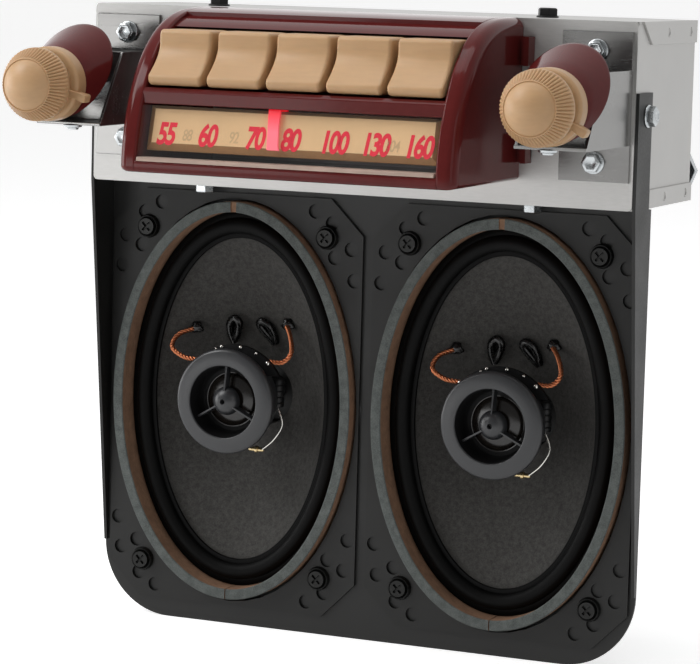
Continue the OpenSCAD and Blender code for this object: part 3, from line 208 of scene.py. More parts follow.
def surface(name, colour, spread, patch, grain, rough, relief, stretch=(1, 1, 1), **sockets):
    """Material whose colour drifts in patches, with a fine grain and uneven gloss.

    Patch, grain and relief are real sizes in millimetres, and stretch draws the pattern out along an axis.
    """
    material = bpy.data.materials.new(name)
    material.use_nodes = True
    tree = material.node_tree
    shader = tree.nodes["Principled BSDF"]
    for socket, value in sockets.items():
        shader.inputs[socket.replace("_", " ")].default_value = value
    place = add_node(tree, "ShaderNodeTexCoord").outputs["Object"]
    drawn = add_node(tree, "ShaderNodeMapping", {"Vector": place, "Scale": stretch}).outputs[0]
    patches, grains = (
        add_node(
            tree, "ShaderNodeTexNoise",
            {"Vector": vector, "Scale": 1 / (size * MM), "Detail": NOISE_DETAIL}).outputs[0]
        for vector, size in ((place, patch), (drawn, grain)))
    both = add_node(tree, "ShaderNodeMath", {0: patches, 1: grains}, operation="ADD").outputs[0]
    share = add_node(tree, "ShaderNodeMapRange", {"Value": both, **NOISE_RANGE}).outputs[0]
    dark, pale = (opaque(shade(colour, factor)) for factor in (1 - spread, 1 + spread))
    colours = add_node(tree, "ShaderNodeMix", {0: share, 6: dark, 7: pale}, data_type="RGBA")
    gloss = add_node(
        tree, "ShaderNodeMapRange",
        {"Value": both, **NOISE_RANGE, "To Min": rough[0], "To Max": rough[1]})
    bump = add_node(
        tree, "ShaderNodeBump", {"Height": grains, "Distance": relief * MM, "Strength": BUMP_STRENGTH})
    tree.links.new(colours.outputs[2], shader.inputs["Base Color"])
    tree.links.new(gloss.outputs[0], shader.inputs["Roughness"])
    tree.links.new(bump.outputs[0], shader.inputs["Normal"])
    return material


def galvanised_sheet(c):
    """Rolled and galvanised mild steel: dull grey with soft cloudy patches and faint rolling lines."""
    return surface(
        "galvanised_sheet", c.steel, 0.07, 14, 0.5, (0.36, 0.48), 0.01, (0.12, 1, 1), Metallic=0.88)


def pickled_sheet(c):
    """Sheet steel of the arms: the chassis grey darkened as painted shade, with clearer reflections."""
    # The arms' colour is the chassis grey at about half its brightness: painted shade
    return surface(
        "pickled_sheet", shade(c.steel, 0.52), 0.08, 10, 0.5, (0.2, 0.28), 0.008, (0.12, 1, 1),
        Metallic=0.92)


def zinc_plate(c):
    """Bright zinc on turned and formed steel: pale metal with slightly uneven gloss."""
    return surface("zinc_plate", c.zinc, 0.1, 3, 0.3, (0.2, 0.34), 0.01, Metallic=1.0)


def black_oxide(c):
    """Blackened steel screws: near black with a low metal sheen."""
    return surface("black_oxide", c.enamel, 0.2, 2, 0.25, (0.3, 0.45), 0.01, Metallic=0.6)


def moulded_maroon(c):
    """Gloss ABS from a polished mould: deep red brown, sharp highlights with a trace of orange peel."""
    return surface(
        "moulded_maroon", c.maroon, 0.06, 20, 2.5, (0.08, 0.14), 0.004, Specular_IOR_Level=0.15)


def moulded_caramel(c):
    """Satin urea plastic from a ground mould: warm tan with faint flow streaks and soft highlights."""
    return surface(
        "moulded_caramel", c.caramel, 0.045, 9, 1.1, (0.36, 0.46), 0.006, (0.15, 1, 1),
        Specular_IOR_Level=0.4, Subsurface_Weight=0.06, Subsurface_Scale=0.002)


def printed_dial(c):
    """Printed plastic plate: even tan with a fine speckle and a low sheen."""
    return surface("printed_dial", c.dial, 0.05, 16, 0.4, (0.42, 0.52), 0.004, Specular_IOR_Level=0.35)


def dial_border(c):
    """Painted shade on the dial's bevelled edges: the tan plate drawn deeper where its edges fall into shade, with
    a low sheen.
    """
    return surface(
        "dial_border", linear("#a07648"), 0.08, 8, 0.5, (0.42, 0.52), 0.004, Specular_IOR_Level=0.35)


def dial_ink(c):
    """Screen-printed ink: strong red with a slightly uneven edge-to-edge film."""
    return surface("dial_ink", c.ink, 0.08, 2, 0.3, (0.4, 0.5), 0.004, Specular_IOR_Level=0.35)


def faint_ink(c):
    """Second scale printed in thin ink: a little darker than the plate."""
    return surface("faint_ink", shade(c.dial, 0.78), 0.08, 2, 0.3, (0.45, 0.55), 0.004)


def fluorescent_acrylic(c):
    """Fluorescent cast acrylic with a painted glow: it glows red where it is thick at its top, and pink down its
    thin blade.
    """
    # The emission is a painted glow that stands in for the acrylic's fluorescence; it shines without any lamp
    material = surface(
        "fluorescent_acrylic", c.pointer, 0.05, 4, 0.8, (0.18, 0.26), 0.003, Emission_Strength=0.3)
    tree = material.node_tree
    shader = tree.nodes["Principled BSDF"]
    place = add_node(tree, "ShaderNodeTexCoord").outputs["Object"]
    height = add_node(tree, "ShaderNodeSeparateXYZ", {"Vector": place}).outputs["Z"]
    red_z, pink_z = ((CHASSIS_FRONT.z + z) * MM for z in (-0.5, -8.0))
    share = add_node(tree, "ShaderNodeMapRange", {"Value": height, "From Min": red_z, "From Max": pink_z})
    # Colour of the painted glow by height, red at the top fading to pink down the blade, used for the base colour
    # as well as the emission
    glow = add_node(
        tree, "ShaderNodeMix",
        {0: share.outputs[0], 6: opaque(c.pointer), 7: opaque(linear("#ff7a88"))}, data_type="RGBA")
    for socket in ("Base Color", "Emission Color"):
        tree.links.new(glow.outputs[2], shader.inputs[socket])
    return material


def stove_enamel(c):
    """Stoved black enamel on sheet steel: satin black with a fine orange peel."""
    return surface(
        "stove_enamel", c.enamel, 0.16, 18, 0.9, (0.4, 0.52), 0.02, Specular_IOR_Level=0.35)


def frame_lacquer(c):
    """Dipped black lacquer on the pressed frames: even satin black."""
    return surface(
        "frame_lacquer", c.enamel, 0.14, 12, 0.6, (0.44, 0.56), 0.012, Specular_IOR_Level=0.32)


def pressed_fibre(c):
    """Pressed fibre board: grey green with pale and dark flecks, quite matt."""
    return surface("pressed_fibre", c.fibre, 0.34, 3, 0.45, (0.8, 0.95), 0.05, Specular_IOR_Level=0.2)


def cut_card(c):
    """Cut edge of brown card: warm brown with fine layers and a rough face."""
    return surface(
        "cut_card", c.card, 0.24, 4, 0.4, (0.85, 0.95), 0.05, (0.3, 1, 0.3), Specular_IOR_Level=0.15)


def butyl_rubber(c):
    """Moulded butyl rubber: black with a soft sheen along its roll."""
    return surface("butyl_rubber", c.rubber, 0.15, 8, 0.5, (0.5, 0.6), 0.008, Specular_IOR_Level=0.1)


def pulp_paper(c):
    """Felted black paper pulp: charcoal with short fibres, without gloss."""
    return surface("pulp_paper", c.paper, 0.36, 1.6, 0.5, (0.82, 0.96), 0.05, Specular_IOR_Level=0.22)


def moulded_black(c):
    """Satin black ABS: dark grey highlights on rounded edges."""
    return surface("moulded_black", c.plastic, 0.08, 10, 0.8, (0.3, 0.4), 0.006, Specular_IOR_Level=0.5)


def horn_black(c):
    """Black ABS inside the horn and on its terminal board, drawn near black as painted shade, with hardly any
    gloss.
    """
    return surface(
        "horn_black", linear("#0b0b0c"), 0.1, 8, 0.6, (0.55, 0.7), 0.01, Specular_IOR_Level=0.2)


def varnished_dome(c):
    """Varnished tweeter diaphragm: dark brown film with broad gloss."""
    return surface("varnished_dome", linear("#1a1613"), 0.12, 3, 0.8, (0.14, 0.22), 0.004)


def copper_strand(c):
    """Drawn copper wire in a twisted braid: bright orange metal."""
    return surface("copper_strand", c.copper, 0.12, 1.5, 0.3, (0.26, 0.36), 0.005, Metallic=0.9)


def solder(c):
    """Set solder: bright tin grey with rounded glints."""
    return surface("solder", linear("#d6d4ce"), 0.08, 1, 0.3, (0.18, 0.3), 0.01, Metallic=1.0)


def brass(c):
    """Stamped brass terminal: yellow metal with a light tarnish."""
    return surface("brass", linear("#cdb98e"), 0.12, 2, 0.4, (0.24, 0.38), 0.005, Metallic=1.0)


def shrink_sleeve(c):
    """Shrunk plastic sleeve of the capacitor: black with a low sheen along its ribs."""
    return surface(
        "shrink_sleeve", linear("#121314"), 0.12, 2, 0.5, (0.4, 0.52), 0.01, Specular_IOR_Level=0.3)


def rubber_cement(c):
    """Set rubber cement: glossy black lumps."""
    return surface("rubber_cement", c.rubber, 0.2, 2, 0.9, (0.2, 0.34), 0.06)


def resin_cloth(c):
    """Cotton cloth dipped in resin: ochre threads about half a millimetre apart, drawn at 0.8 mm to show."""
    material = surface("resin_cloth", c.cloth, 0.16, 6, 0.5, (0.6, 0.75), 0.02, Specular_IOR_Level=0.3)
    tree = material.node_tree
    shader = tree.nodes["Principled BSDF"]
    place = add_node(tree, "ShaderNodeTexCoord").outputs["Object"]
    # A wave texture of scale 1 repeats every 2 pi / 20
    spacing = 0.8 * MM
    weft, warp = (
        add_node(
            tree, "ShaderNodeTexWave", {"Vector": place, "Scale": 2 * math.pi / (20 * spacing)},
            bands_direction=axis).outputs[1]
        for axis in "XZ")
    weave = add_node(tree, "ShaderNodeMath", {0: weft, 1: warp}, operation="MAXIMUM").outputs[0]
    bump = add_node(tree, "ShaderNodeBump", {"Height": weave, "Distance": 0.15 * MM, "Strength": 0.7})
    tree.links.new(bump.outputs[0], shader.inputs["Normal"])
    return material


def sintered_ferrite(c):
    """Sintered ferrite ring: dark grey ceramic with a dry, grainy face."""
    return surface("sintered_ferrite", linear("#2b2c2e"), 0.14, 6, 0.5, (0.7, 0.85), 0.03)


def cast_acrylic(c):
    """Polished clear acrylic sheet: see-through, with a face that mirrors a twentieth of the light."""
    return surface(
        "cast_acrylic", linear("#f4f4f2"), 0.02, 30, 6, (0.04, 0.08), 0.0005, Metallic=1.0, Alpha=0.05)


def ground_acrylic(c):
    """Foot of the acrylic sheet: pale pinkish tan that is a painted reflection of the tan scale, half see-through,
    with streaks along the cut.
    """
    return surface(
        "ground_acrylic", linear("#d8bcac"), 0.14, 9, 0.7, (0.3, 0.45), 0.02, (0.05, 1, 1), Alpha=0.6)


def finish(maker):
    """The material that a maker gives, made once."""
    return bpy.data.materials.get(maker.__name__) or maker(bpy.context.scene.radio_colours)


# Shapes

class Shape:
    """Points and faces of one piece, in millimetres from the middle of the chassis front."""

    def __init__(self, place=None):
        self.points = []
        self.faces = []
        self.finishes = []
        self.place = place or Matrix.Identity(4)

    def add(self, points, faces, finish_index=0):
        """Adds points and faces, moved to the shape's place."""
        start = len(self.points)
        self.points += [self.place @ Vector(p) for p in points]
        self.faces += [[start + i for i in face] for face in faces]
        self.finishes += [finish_index] * len(faces)

    def loft(self, rings, hoop=False, finish_index=0):
        """Skin over rings of equally many points; a hoop joins the last ring to the first."""
        count = len(rings[0])
        last = len(rings) if hoop else len(rings) - 1
        faces = []
        for i in range(last):
            a = i * count
            b = (i + 1) % len(rings) * count
            for j in range(count):
                k = (j + 1) % count
                faces.append([a + j, a + k, b + k, b + j])
        if not hoop:
            faces.append(list(range(count))[::-1])
            faces.append([last * count + j for j in range(count)])
        self.add([p for ring in rings for p in ring], faces, finish_index)

    def turn(self, profile, steps=96, hoop=False, finish_index=0):
        """Turns a profile of radius and depth about the Y axis."""
        self.loft([oval(r, r, y, steps) for r, y in profile], hoop, finish_index)

    def prism(self, outline, x0, x1, finish_index=0):
        """Runs an outline in Y and Z from x0 to x1."""
        self.loft([[(x, y, z) for y, z in outline] for x in (x0, x1)], False, finish_index)

    def box(self, low, high, finish_index=0):
        """Box between two corners."""
        outline = [(low[1], low[2]), (high[1], low[2]), (high[1], high[2]), (low[1], high[2])]
        self.prism(outline, low[0], high[0], finish_index)

    def tube(self, route, radius, sides=8, finish_index=0):
        """Round tube along a route."""
        self.loft(tube_rings(route, radius, sides), False, finish_index)

    def piece(self, name, finishes, body, slot, stands_for=(), soften=0.0, crease=CREASE_ANGLE):
        """Makes the shape a piece that rides on a body, in place of CAD nodes."""
        mesh = bpy.data.meshes.new(name)
        mesh.from_pydata([(p + CHASSIS_FRONT) * MM for p in self.points], [], self.faces)
        mesh.polygons.foreach_set("material_index", self.finishes)
        return show(mesh, name, finishes, body, stands_for, soften, crease)

    def stand_for(self, node, name, finishes, body=RADIO, **options):
        """Makes the shape the piece that stands for one CAD node."""
        return self.piece(name, finishes, body, SLOTS[node], [node], **options)


def bake(piece):
    """Applies a piece's modifiers to its mesh."""
    graph = bpy.context.evaluated_depsgraph_get()
    baked = bpy.data.meshes.new_from_object(piece.evaluated_get(graph))
    piece.modifiers.clear()
    piece.data = baked


def show(mesh, name, finishes, body, stands_for=(), soften=0.0, crease=CREASE_ANGLE):
    """Cleans a mesh, breaks its sharp edges and shows it as a piece."""
    shell = bmesh.new()
    shell.from_mesh(mesh)
    bmesh.ops.remove_doubles(shell, verts=shell.verts, dist=WELD)
    bmesh.ops.dissolve_degenerate(shell, edges=shell.edges, dist=WELD)
    bmesh.ops.recalc_face_normals(shell, faces=shell.faces)
    if soften:
        edges = [e for e in shell.edges if e.is_manifold and e.calc_face_angle(0) > crease]
        bmesh.ops.bevel(
            shell, geom=edges, offset=soften * MM, segments=2, profile=0.5, affect="EDGES",
            clamp_overlap=True)
    shell.to_mesh(mesh)
    shell.free()
    for maker in finishes:
        mesh.materials.append(finish(maker))
    mesh.shade_smooth()
    mesh.set_sharp_from_angle(angle=crease)
    piece = bpy.data.objects.new(name, mesh)
    bpy.context.scene.collection.objects.link(piece)
    if soften:
        piece.modifiers.new("weighted_normals", "WEIGHTED_NORMAL").keep_sharp = True
        bake(piece)
    if body:
        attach(piece, body)
    if stands_for:
        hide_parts(*stands_for)
    return piece


def formed(node, maker, body=RADIO, soften=0.3):
    """Copy of a CAD node with its flat faces joined and its edges broken, in place of the node."""
    shell = bmesh.new()
    shell.from_mesh(frame["nodes"][node].data)
    bmesh.ops.remove_doubles(shell, verts=shell.verts, dist=WELD)
    bmesh.ops.dissolve_limit(shell, angle_limit=FLAT_ANGLE, verts=shell.verts, edges=shell.edges)
    mesh = bpy.data.meshes.new(node + "_formed")
    shell.to_mesh(mesh)
    shell.free()
    normals = mesh.attributes.get("custom_normal")
    if normals:
        mesh.attributes.remove(normals)
    return show(mesh, node + "_formed", [maker], body, [node], soften)


def dress(node, maker):
    """Gives a CAD node its material."""
    mesh = frame["nodes"][node].data
    mesh.materials.clear()
    mesh.materials.append(finish(maker))


def carve(piece, low, high):
    """Cuts a box, given from the middle of the chassis front, out of a piece."""
    cutter_shape = Shape()
    cutter_shape.box(low, high)
    mesh = bpy.data.meshes.new("cutter")
    mesh.from_pydata([(p + CHASSIS_FRONT) * MM for p in cutter_shape.points], [], cutter_shape.faces)
    shell = bmesh.new()
    shell.from_mesh(mesh)
    bmesh.ops.recalc_face_normals(shell, faces=shell.faces)
    shell.to_mesh(mesh)
    shell.free()
    cutter = bpy.data.objects.new("cutter", mesh)
    bpy.context.scene.collection.objects.link(cutter)
    cut = piece.modifiers.new("pocket", "BOOLEAN")
    cut.object = cutter
    cut.solver = "EXACT"
    bake(piece)
    piece.data.set_sharp_from_angle(angle=CREASE_ANGLE)
    bpy.data.objects.remove(cutter)


def arc(middle, radius, start, end, steps):
    """Points on an arc between two angles in degrees."""
    angles = [math.radians(start + (end - start) * i / steps) for i in range(steps + 1)]
    return [(middle[0] + radius * math.cos(a), middle[1] + radius * math.sin(a)) for a in angles]


def filleted(corners, steps=5):
    """Outline with its corners rounded; each corner is two coordinates and a radius."""
    points = []
    for i, (px, py, radius) in enumerate(corners):
        here = Vector((px, py))
        back = (Vector(corners[i - 1][:2]) - here).normalized()
        ahead = (Vector(corners[(i + 1) % len(corners)][:2]) - here).normalized()
        if not radius:
            points.append((px, py))
            continue
        half = math.acos(max(-1, min(1, back.dot(ahead)))) / 2
        reach = radius / math.tan(half)
        middle = here + (back + ahead).normalized() * radius / math.sin(half)
        first = here + back * reach - middle
        last = here + ahead * reach - middle
        sweep = first.angle_signed(last)
        for k in range(steps + 1):
            turned = first.copy()
            turned.rotate(Matrix.Rotation(-sweep * k / steps, 2))
            points.append(tuple(middle + turned))
    return points


def smooth_route(points, steps):
    """Smooth curve through points."""
    route = []
    for i in range(len(points) - 1):
        a, b = Vector(points[max(i - 1, 0)]), Vector(points[i])
        c, d = Vector(points[i + 1]), Vector(points[min(i + 2, len(points) - 1)])
        for k in range(steps):
            t = k / steps
            route.append(0.5 * (
                2 * b + (c - a) * t + (2 * a - 5 * b + 4 * c - d) * t * t + (3 * b - a - 3 * c + d) * t ** 3))
    route.append(Vector(points[-1]))
    return route


def cross_frames(route):
    """Two directions square to the route at each of its points, without twist."""
    last = len(route) - 1
    frames = []
    side = None
    for i, point in enumerate(route):
        way = (route[min(i + 1, last)] - route[max(i - 1, 0)]).normalized()
        if side is None:
            side = way.orthogonal()
        side = (side - way * side.dot(way)).normalized()
        frames.append((side.copy(), way.cross(side)))
    return frames


def full_turn(steps):
    """Angles of a full turn in equal steps."""
    return [2 * math.pi * i / steps for i in range(steps)]


def quarter_turn(steps):
    """Angles from 0 to a right angle in equal steps."""
    return [math.pi / 2 * i / steps for i in range(steps + 1)]


def quarter_round(radius, steps):
    """Steps across and insets over a quarter round."""
    return [(radius * (1 - math.cos(a)), radius * (1 - math.sin(a))) for a in quarter_turn(steps)]


def tube_rings(route, radius, sides):
    """Rings of a round tube along a route."""
    return [
        [point + radius * (side * math.cos(a) + rise * math.sin(a)) for a in full_turn(sides)]
        for point, (side, rise) in zip(route, cross_frames(route))]


def oval(a, b, y, steps=144):
    """Ring of an oval at one depth."""
    return [(a * math.cos(t), y, b * math.sin(t)) for t in full_turn(steps)]


def on_side(spot, side):
    """Place of a spot that the radio has on both sides."""
    return Matrix.Translation((side * spot.x, spot.y, spot.z))


# Chassis and fittings

# How far the strap's outer edge stands out past the CAD solid, level with the chassis side
STRAP_GROWTH = 3.8


class RADIO_OT_chassis(Operator):
    """Sheet-steel case with its rear fittings"""
    bl_idname = "radio.chassis"
    bl_label = "Chassis"

    def execute(self, context):
        sheets = {"front_panel": 0.45, "chassis_wrap": 0.4, "top_cover": 0.35, "bottom_cover": 0.35}
        for node, edge in sheets.items():
            formed(node, galvanised_sheet, soften=edge)
        strap = formed("rear_strap", zinc_plate, soften=0.4)
        outer_edge = max(vert.co.x for vert in strap.data.vertices)
        for vert in strap.data.vertices:
            if vert.co.x > outer_edge - MM:
                vert.co.x += STRAP_GROWTH * MM
        formed("antenna_socket", zinc_plate, soften=0.3)
        formed("power_socket", moulded_black, soften=0.2)
        return {"FINISHED"}


# Bezel

BEZEL_TOP = 32.3
BEZEL_FOOT = -24.0
BEZEL_NOSE = 2.0
BEZEL_MID = BEZEL_FOOT + BEZEL_NOSE
FACE_BULGE = 3.0
TOP_BULGE = 1.78
BAY_TOP = 25.8
STRIP_T = 2.5
STRIP_RECESS = 1.4
BROW_D = 22.0
BAR_TOP = 5.1
BAR_FOOT = -0.4
BAR_RECESS = 1.7
BAR_T = 0.9
BAR_EDGE = 1.3
SHELF_T = 1.8
SILL_TOP = -20.0
SILL_D = 6.5
TAB_H = 10.0
TAB_W = 4.3
TAB_T = 2.0
TAB_RIB_D = 6.0
TAB_PLACES = (21, -12.5)
# How far a wall runs into the one that it meets
SINK = 0.5
FOOT_INSET = 0.4


def bezel_front(depth, z):
    """Depth of the bezel's curved face at a height."""
    share = max(0, z - BEZEL_MID) / (BEZEL_TOP - BEZEL_MID)
    return -depth * max(0, 1 - share ** TOP_BULGE) ** (1 / FACE_BULGE)


def bezel_run(depth, start, end, inset, steps):
    """Points on the curved face, drawn in by an inset, between angles from 0 at its foot to 90 at its top."""
    points = []
    for i in range(steps + 1):
        a = math.radians(start + (end - start) * i / steps)
        y = -(depth - inset) * abs(math.cos(a)) ** (2 / FACE_BULGE)
        z = BEZEL_MID + (BEZEL_TOP - BEZEL_MID - inset) * abs(math.sin(a)) ** (2 / TOP_BULGE)
        points.append((y, z))
    return points


def angle_at_height(z, inset):
    """Angle at which the curved face reaches a height."""
    share = (z - BEZEL_MID) / (BEZEL_TOP - BEZEL_MID - inset)
    return math.degrees(math.asin(share ** (TOP_BULGE / 2)))


def angle_at_depth(depth, y, inset):
    """Angle at which the curved face reaches a depth in front of the chassis."""
    return math.degrees(math.acos((y / (depth - inset)) ** (FACE_BULGE / 2)))


def bezel_section(depth, inset):
    """Side outline of the bezel in Y and Z, drawn in by an inset."""
    d = depth - inset
    foot = BEZEL_FOOT + FOOT_INSET * inset
    nose = [
        (-d + BEZEL_NOSE * (1 - math.sin(a)), BEZEL_MID - (BEZEL_MID - foot) * math.cos(a))
        for a in quarter_turn(6)[:-1]
    ]
    return [(0, foot)] + nose + bezel_run(depth, 0, 90, inset, 60)


class RADIO_OT_bezel(Operator):
    """Moulded bezel with its curved rims, bars and snap tabs"""
    bl_idname = "radio.bezel"
    bl_label = "Bezel"

    def execute(self, context):
        s = in_mm(context.scene.radio_front)
        half = s.width / 2
        rim_in = half - s.rim
        shape = Shape()
        for side in (-1, 1):
            self.rim(shape, s, side, half, rim_in)
            for z in TAB_PLACES:
                self.tab(shape, side, half, z)
        self.strip(shape, s, rim_in)
        self.bar(shape, s, rim_in)
        self.sill(shape, s, rim_in)
        shape.stand_for("bezel", "bezel_moulding", [moulded_maroon], soften=0.25)
        return {"FINISHED"}

    def rim(self, shape, s, side, half, rim_in):
        """Side rim, rounded on its inner and outer edges."""
        steps = 9
        stations = [(rim_in + step, inset) for step, inset in quarter_round(s.rim_inner, steps)]
        stations += [(half - step, inset) for step, inset in reversed(quarter_round(s.rim_round, steps))]
        shape.loft([[(side * x, y, z) for y, z in bezel_section(s.depth, inset)] for x, inset in stations])

    def tab(self, shape, side, half, z):
        """Snap tab with its stiffening rib."""
        low, high = z - TAB_H / 2, z + TAB_H / 2
        edge = side * (half + TAB_W)
        xs = sorted([side * (half - SINK), edge])
        ribs = sorted([side * (half + TAB_W - TAB_T), edge])
        shape.box((xs[0], -TAB_T, low), (xs[1], 0, high))
        shape.box((ribs[0], -TAB_RIB_D, low), (ribs[1], 0, high))

    def strip(self, shape, s, rim_in):
        """Curved strip over the buttons: a sunk panel, then a brow level with the rims."""
        steps = 20
        inner = STRIP_RECESS + STRIP_T
        outline = bezel_run(
            s.depth, angle_at_height(BAY_TOP, STRIP_RECESS), angle_at_depth(s.depth, BROW_D, STRIP_RECESS),
            STRIP_RECESS, steps)
        outline += bezel_run(s.depth, angle_at_depth(s.depth, BROW_D, 0), 90, 0, steps)
        outline += bezel_run(s.depth, 90, angle_at_height(BAY_TOP, inner), inner, steps)
        shape.prism(outline, -rim_in - SINK, rim_in + SINK)

    def bar(self, shape, s, rim_in):
        """Bar between the buttons and the dial, with the shelf behind it."""
        front = bezel_front(s.depth, BAR_FOOT) + BAR_RECESS
        back = front + BAR_T
        outline = filleted([
            (front + BAR_EDGE, BAR_TOP, 0.3), (front, BAR_TOP - BAR_EDGE, 0.5), (front, BAR_FOOT, 0.25),
            (back, BAR_FOOT, 0.25), (back, BAR_TOP - SHELF_T, 0), (0, BAR_TOP - SHELF_T, 0), (0, BAR_TOP, 0),
        ])
        shape.prism(outline, -rim_in - SINK, rim_in + SINK)

    def sill(self, shape, s, rim_in):
        """Sill under the dial, with the floor behind it."""
        back = -s.depth + SILL_D
        floor = BEZEL_FOOT + STRIP_T
        outline = filleted([
            (0, BEZEL_FOOT, 0), (-s.depth, BEZEL_FOOT, 1.8), (-s.depth, SILL_TOP, 0.9),
            (back, SILL_TOP, 0.3), (back, floor, 0), (0, floor, 0),
        ])
        shape.prism(outline, -rim_in - SINK, rim_in + SINK)


# Buttons

BUTTON_COUNT = 5
BAY_GAP = 0.8
BUTTON_FOOT = BAR_TOP + BAY_GAP
BUTTON_TOP = BAY_TOP - BAY_GAP
BUTTON_BACK = -8.0
BUTTON_SIDE_R = 1.25
BUTTON_LIP_R = 2.2
BUTTON_CROWN_R = 1.6
BUTTON_CROWN_H = 4.0
POCKET_W, POCKET_H, POCKET_D = 9.8, 7.8, 29.4


def button_section(s, inset):
    """Side outline of a button: a rounded lip, a finger hollow and a rounded crown."""
    lip = -s.lip + inset
    foot = BUTTON_FOOT + inset
    top = BUTTON_TOP - inset
    lip_r = BUTTON_LIP_R - inset / 2
    crown_r = BUTTON_CROWN_R - inset / 2
    rounded = arc((lip + lip_r, foot + lip_r), lip_r, 270, 150, 14)
    start = rounded[-1]
    end = (lip + s.hollow, top - BUTTON_CROWN_H)
    steps = 20
    hollow = []
    for i in range(1, steps + 1):
        t = i / steps
        hollow.append((start[0] + (end[0] - start[0]) * math.sin(math.pi / 2 * t),
                       start[1] + (end[1] - start[1]) * t))
    crown = arc((end[0] + crown_r, top - crown_r), crown_r, 180, 90, 8)
    return [(BUTTON_BACK, foot)] + rounded + hollow + crown + [(BUTTON_BACK, top)]


class RADIO_OT_buttons(Operator):
    """Push-buttons with finger hollows, and the guide behind them"""
    bl_idname = "radio.buttons"
    bl_label = "Push-buttons"

    def execute(self, context):
        s = in_mm(context.scene.radio_front)
        rim_in = s.width / 2 - s.rim
        row = 2 * rim_in - 2 * BAY_GAP
        wide = (row - (BUTTON_COUNT - 1) * s.button_gap) / BUTTON_COUNT
        middle_z = (BUTTON_FOOT + BUTTON_TOP) / 2
        edges = quarter_round(BUTTON_SIDE_R, 6)
        for i in range(BUTTON_COUNT):
            name = f"button_{i + 1}"
            x = (i - (BUTTON_COUNT - 1) / 2) * (wide + s.button_gap)
            stations = [(x - wide / 2 + step, inset) for step, inset in edges]
            stations += [(x + wide / 2 - step, inset) for step, inset in reversed(edges)]
            shape = Shape()
            shape.loft([[(sx, y, z) for y, z in button_section(s, inset)] for sx, inset in stations])
            piece = shape.stand_for(name, name + "_cap", [moulded_caramel], name)
            carve(piece, (x - POCKET_W / 2, -POCKET_D, middle_z - POCKET_H / 2),
                  (x + POCKET_W / 2, 0, middle_z + POCKET_H / 2))
        formed("button_guide", moulded_black, soften=0.3)
        return {"FINISHED"}


# Dial

DIAL_TILT = math.radians(14)
DIAL_TOP = Vector((0, -51.52, -0.9))
DIAL_H = 15.6
DIAL_GAP = 1.2
# Inset and depth of the plate's edge from its back to its face; foot and top take a share of the inset
DIAL_BEVEL = ((0, 2.4), (0, 1.3), (1.9, 0.12), (2.1, 0.0))
DIAL_FOOT_BEVEL = 1.15
DIAL_TOP_BEVEL = 0.6
# Height of a figure in the built-in font, as a share of the font's size
FIGURE_SHARE = 0.69
FIGURE_WIDTH = 0.72
FIGURE_SPACE = 0.86
FIGURE_DROP = -10.3
FIGURE_LIFT = 0.05
FIGURE_LEAN = 0.16
FIGURE_SWELL = 0.36
FAINT_SHARE = 0.53
FAINT_SWELL = 0.06
INK_T = 0.02
POINTER_X = -5.7
POINTER_FRONT = -1.8
POINTER_BACK = -0.8
POINTER_TOP = 2.4
POINTER_BLADE = (
    (-1.9, -14), (2.7, -14), (2.1, -12.5), (1.7, -8), (1.5, -5.5), (1.55, -3), (1.65, -1), (1.8, 0.6),
    (2.1, POINTER_TOP), (-3.1, POINTER_TOP),
)
NECK_HALF = 1.8
HOOK_T = 0.5
CARRIAGE_HALF = 4.5
CARRIAGE_FRONT = 3.2
CARRIAGE_BACK = 9.8
CARRIAGE_TOP = -0.6
CARRIAGE_FOOT = -5.0
WINDOW_FRONT = -4.1
WINDOW_T = 1.5
WINDOW_TOP = 0.9
WINDOW_H = 19.9
WINDOW_FOOT_H = 1.4
WINDOW_FOOT_D = 5.0
DIAL_NUMBERS = (
    ("55", -47.0), ("60", -31.2), ("70", -13.2), ("80", 0.1), ("100", 16.2), ("130", 31.4), ("160", 47.1))
FAINT_NUMBERS = (("88", -38.9), ("92", -21.2), ("104", 37.5))


def dial_matrix():
    """Place of the dial's face: X along it, Y behind it and Z up it, from the middle of its top edge."""
    return Matrix.Translation(DIAL_TOP) @ Matrix.Rotation(-DIAL_TILT, 4, "X")


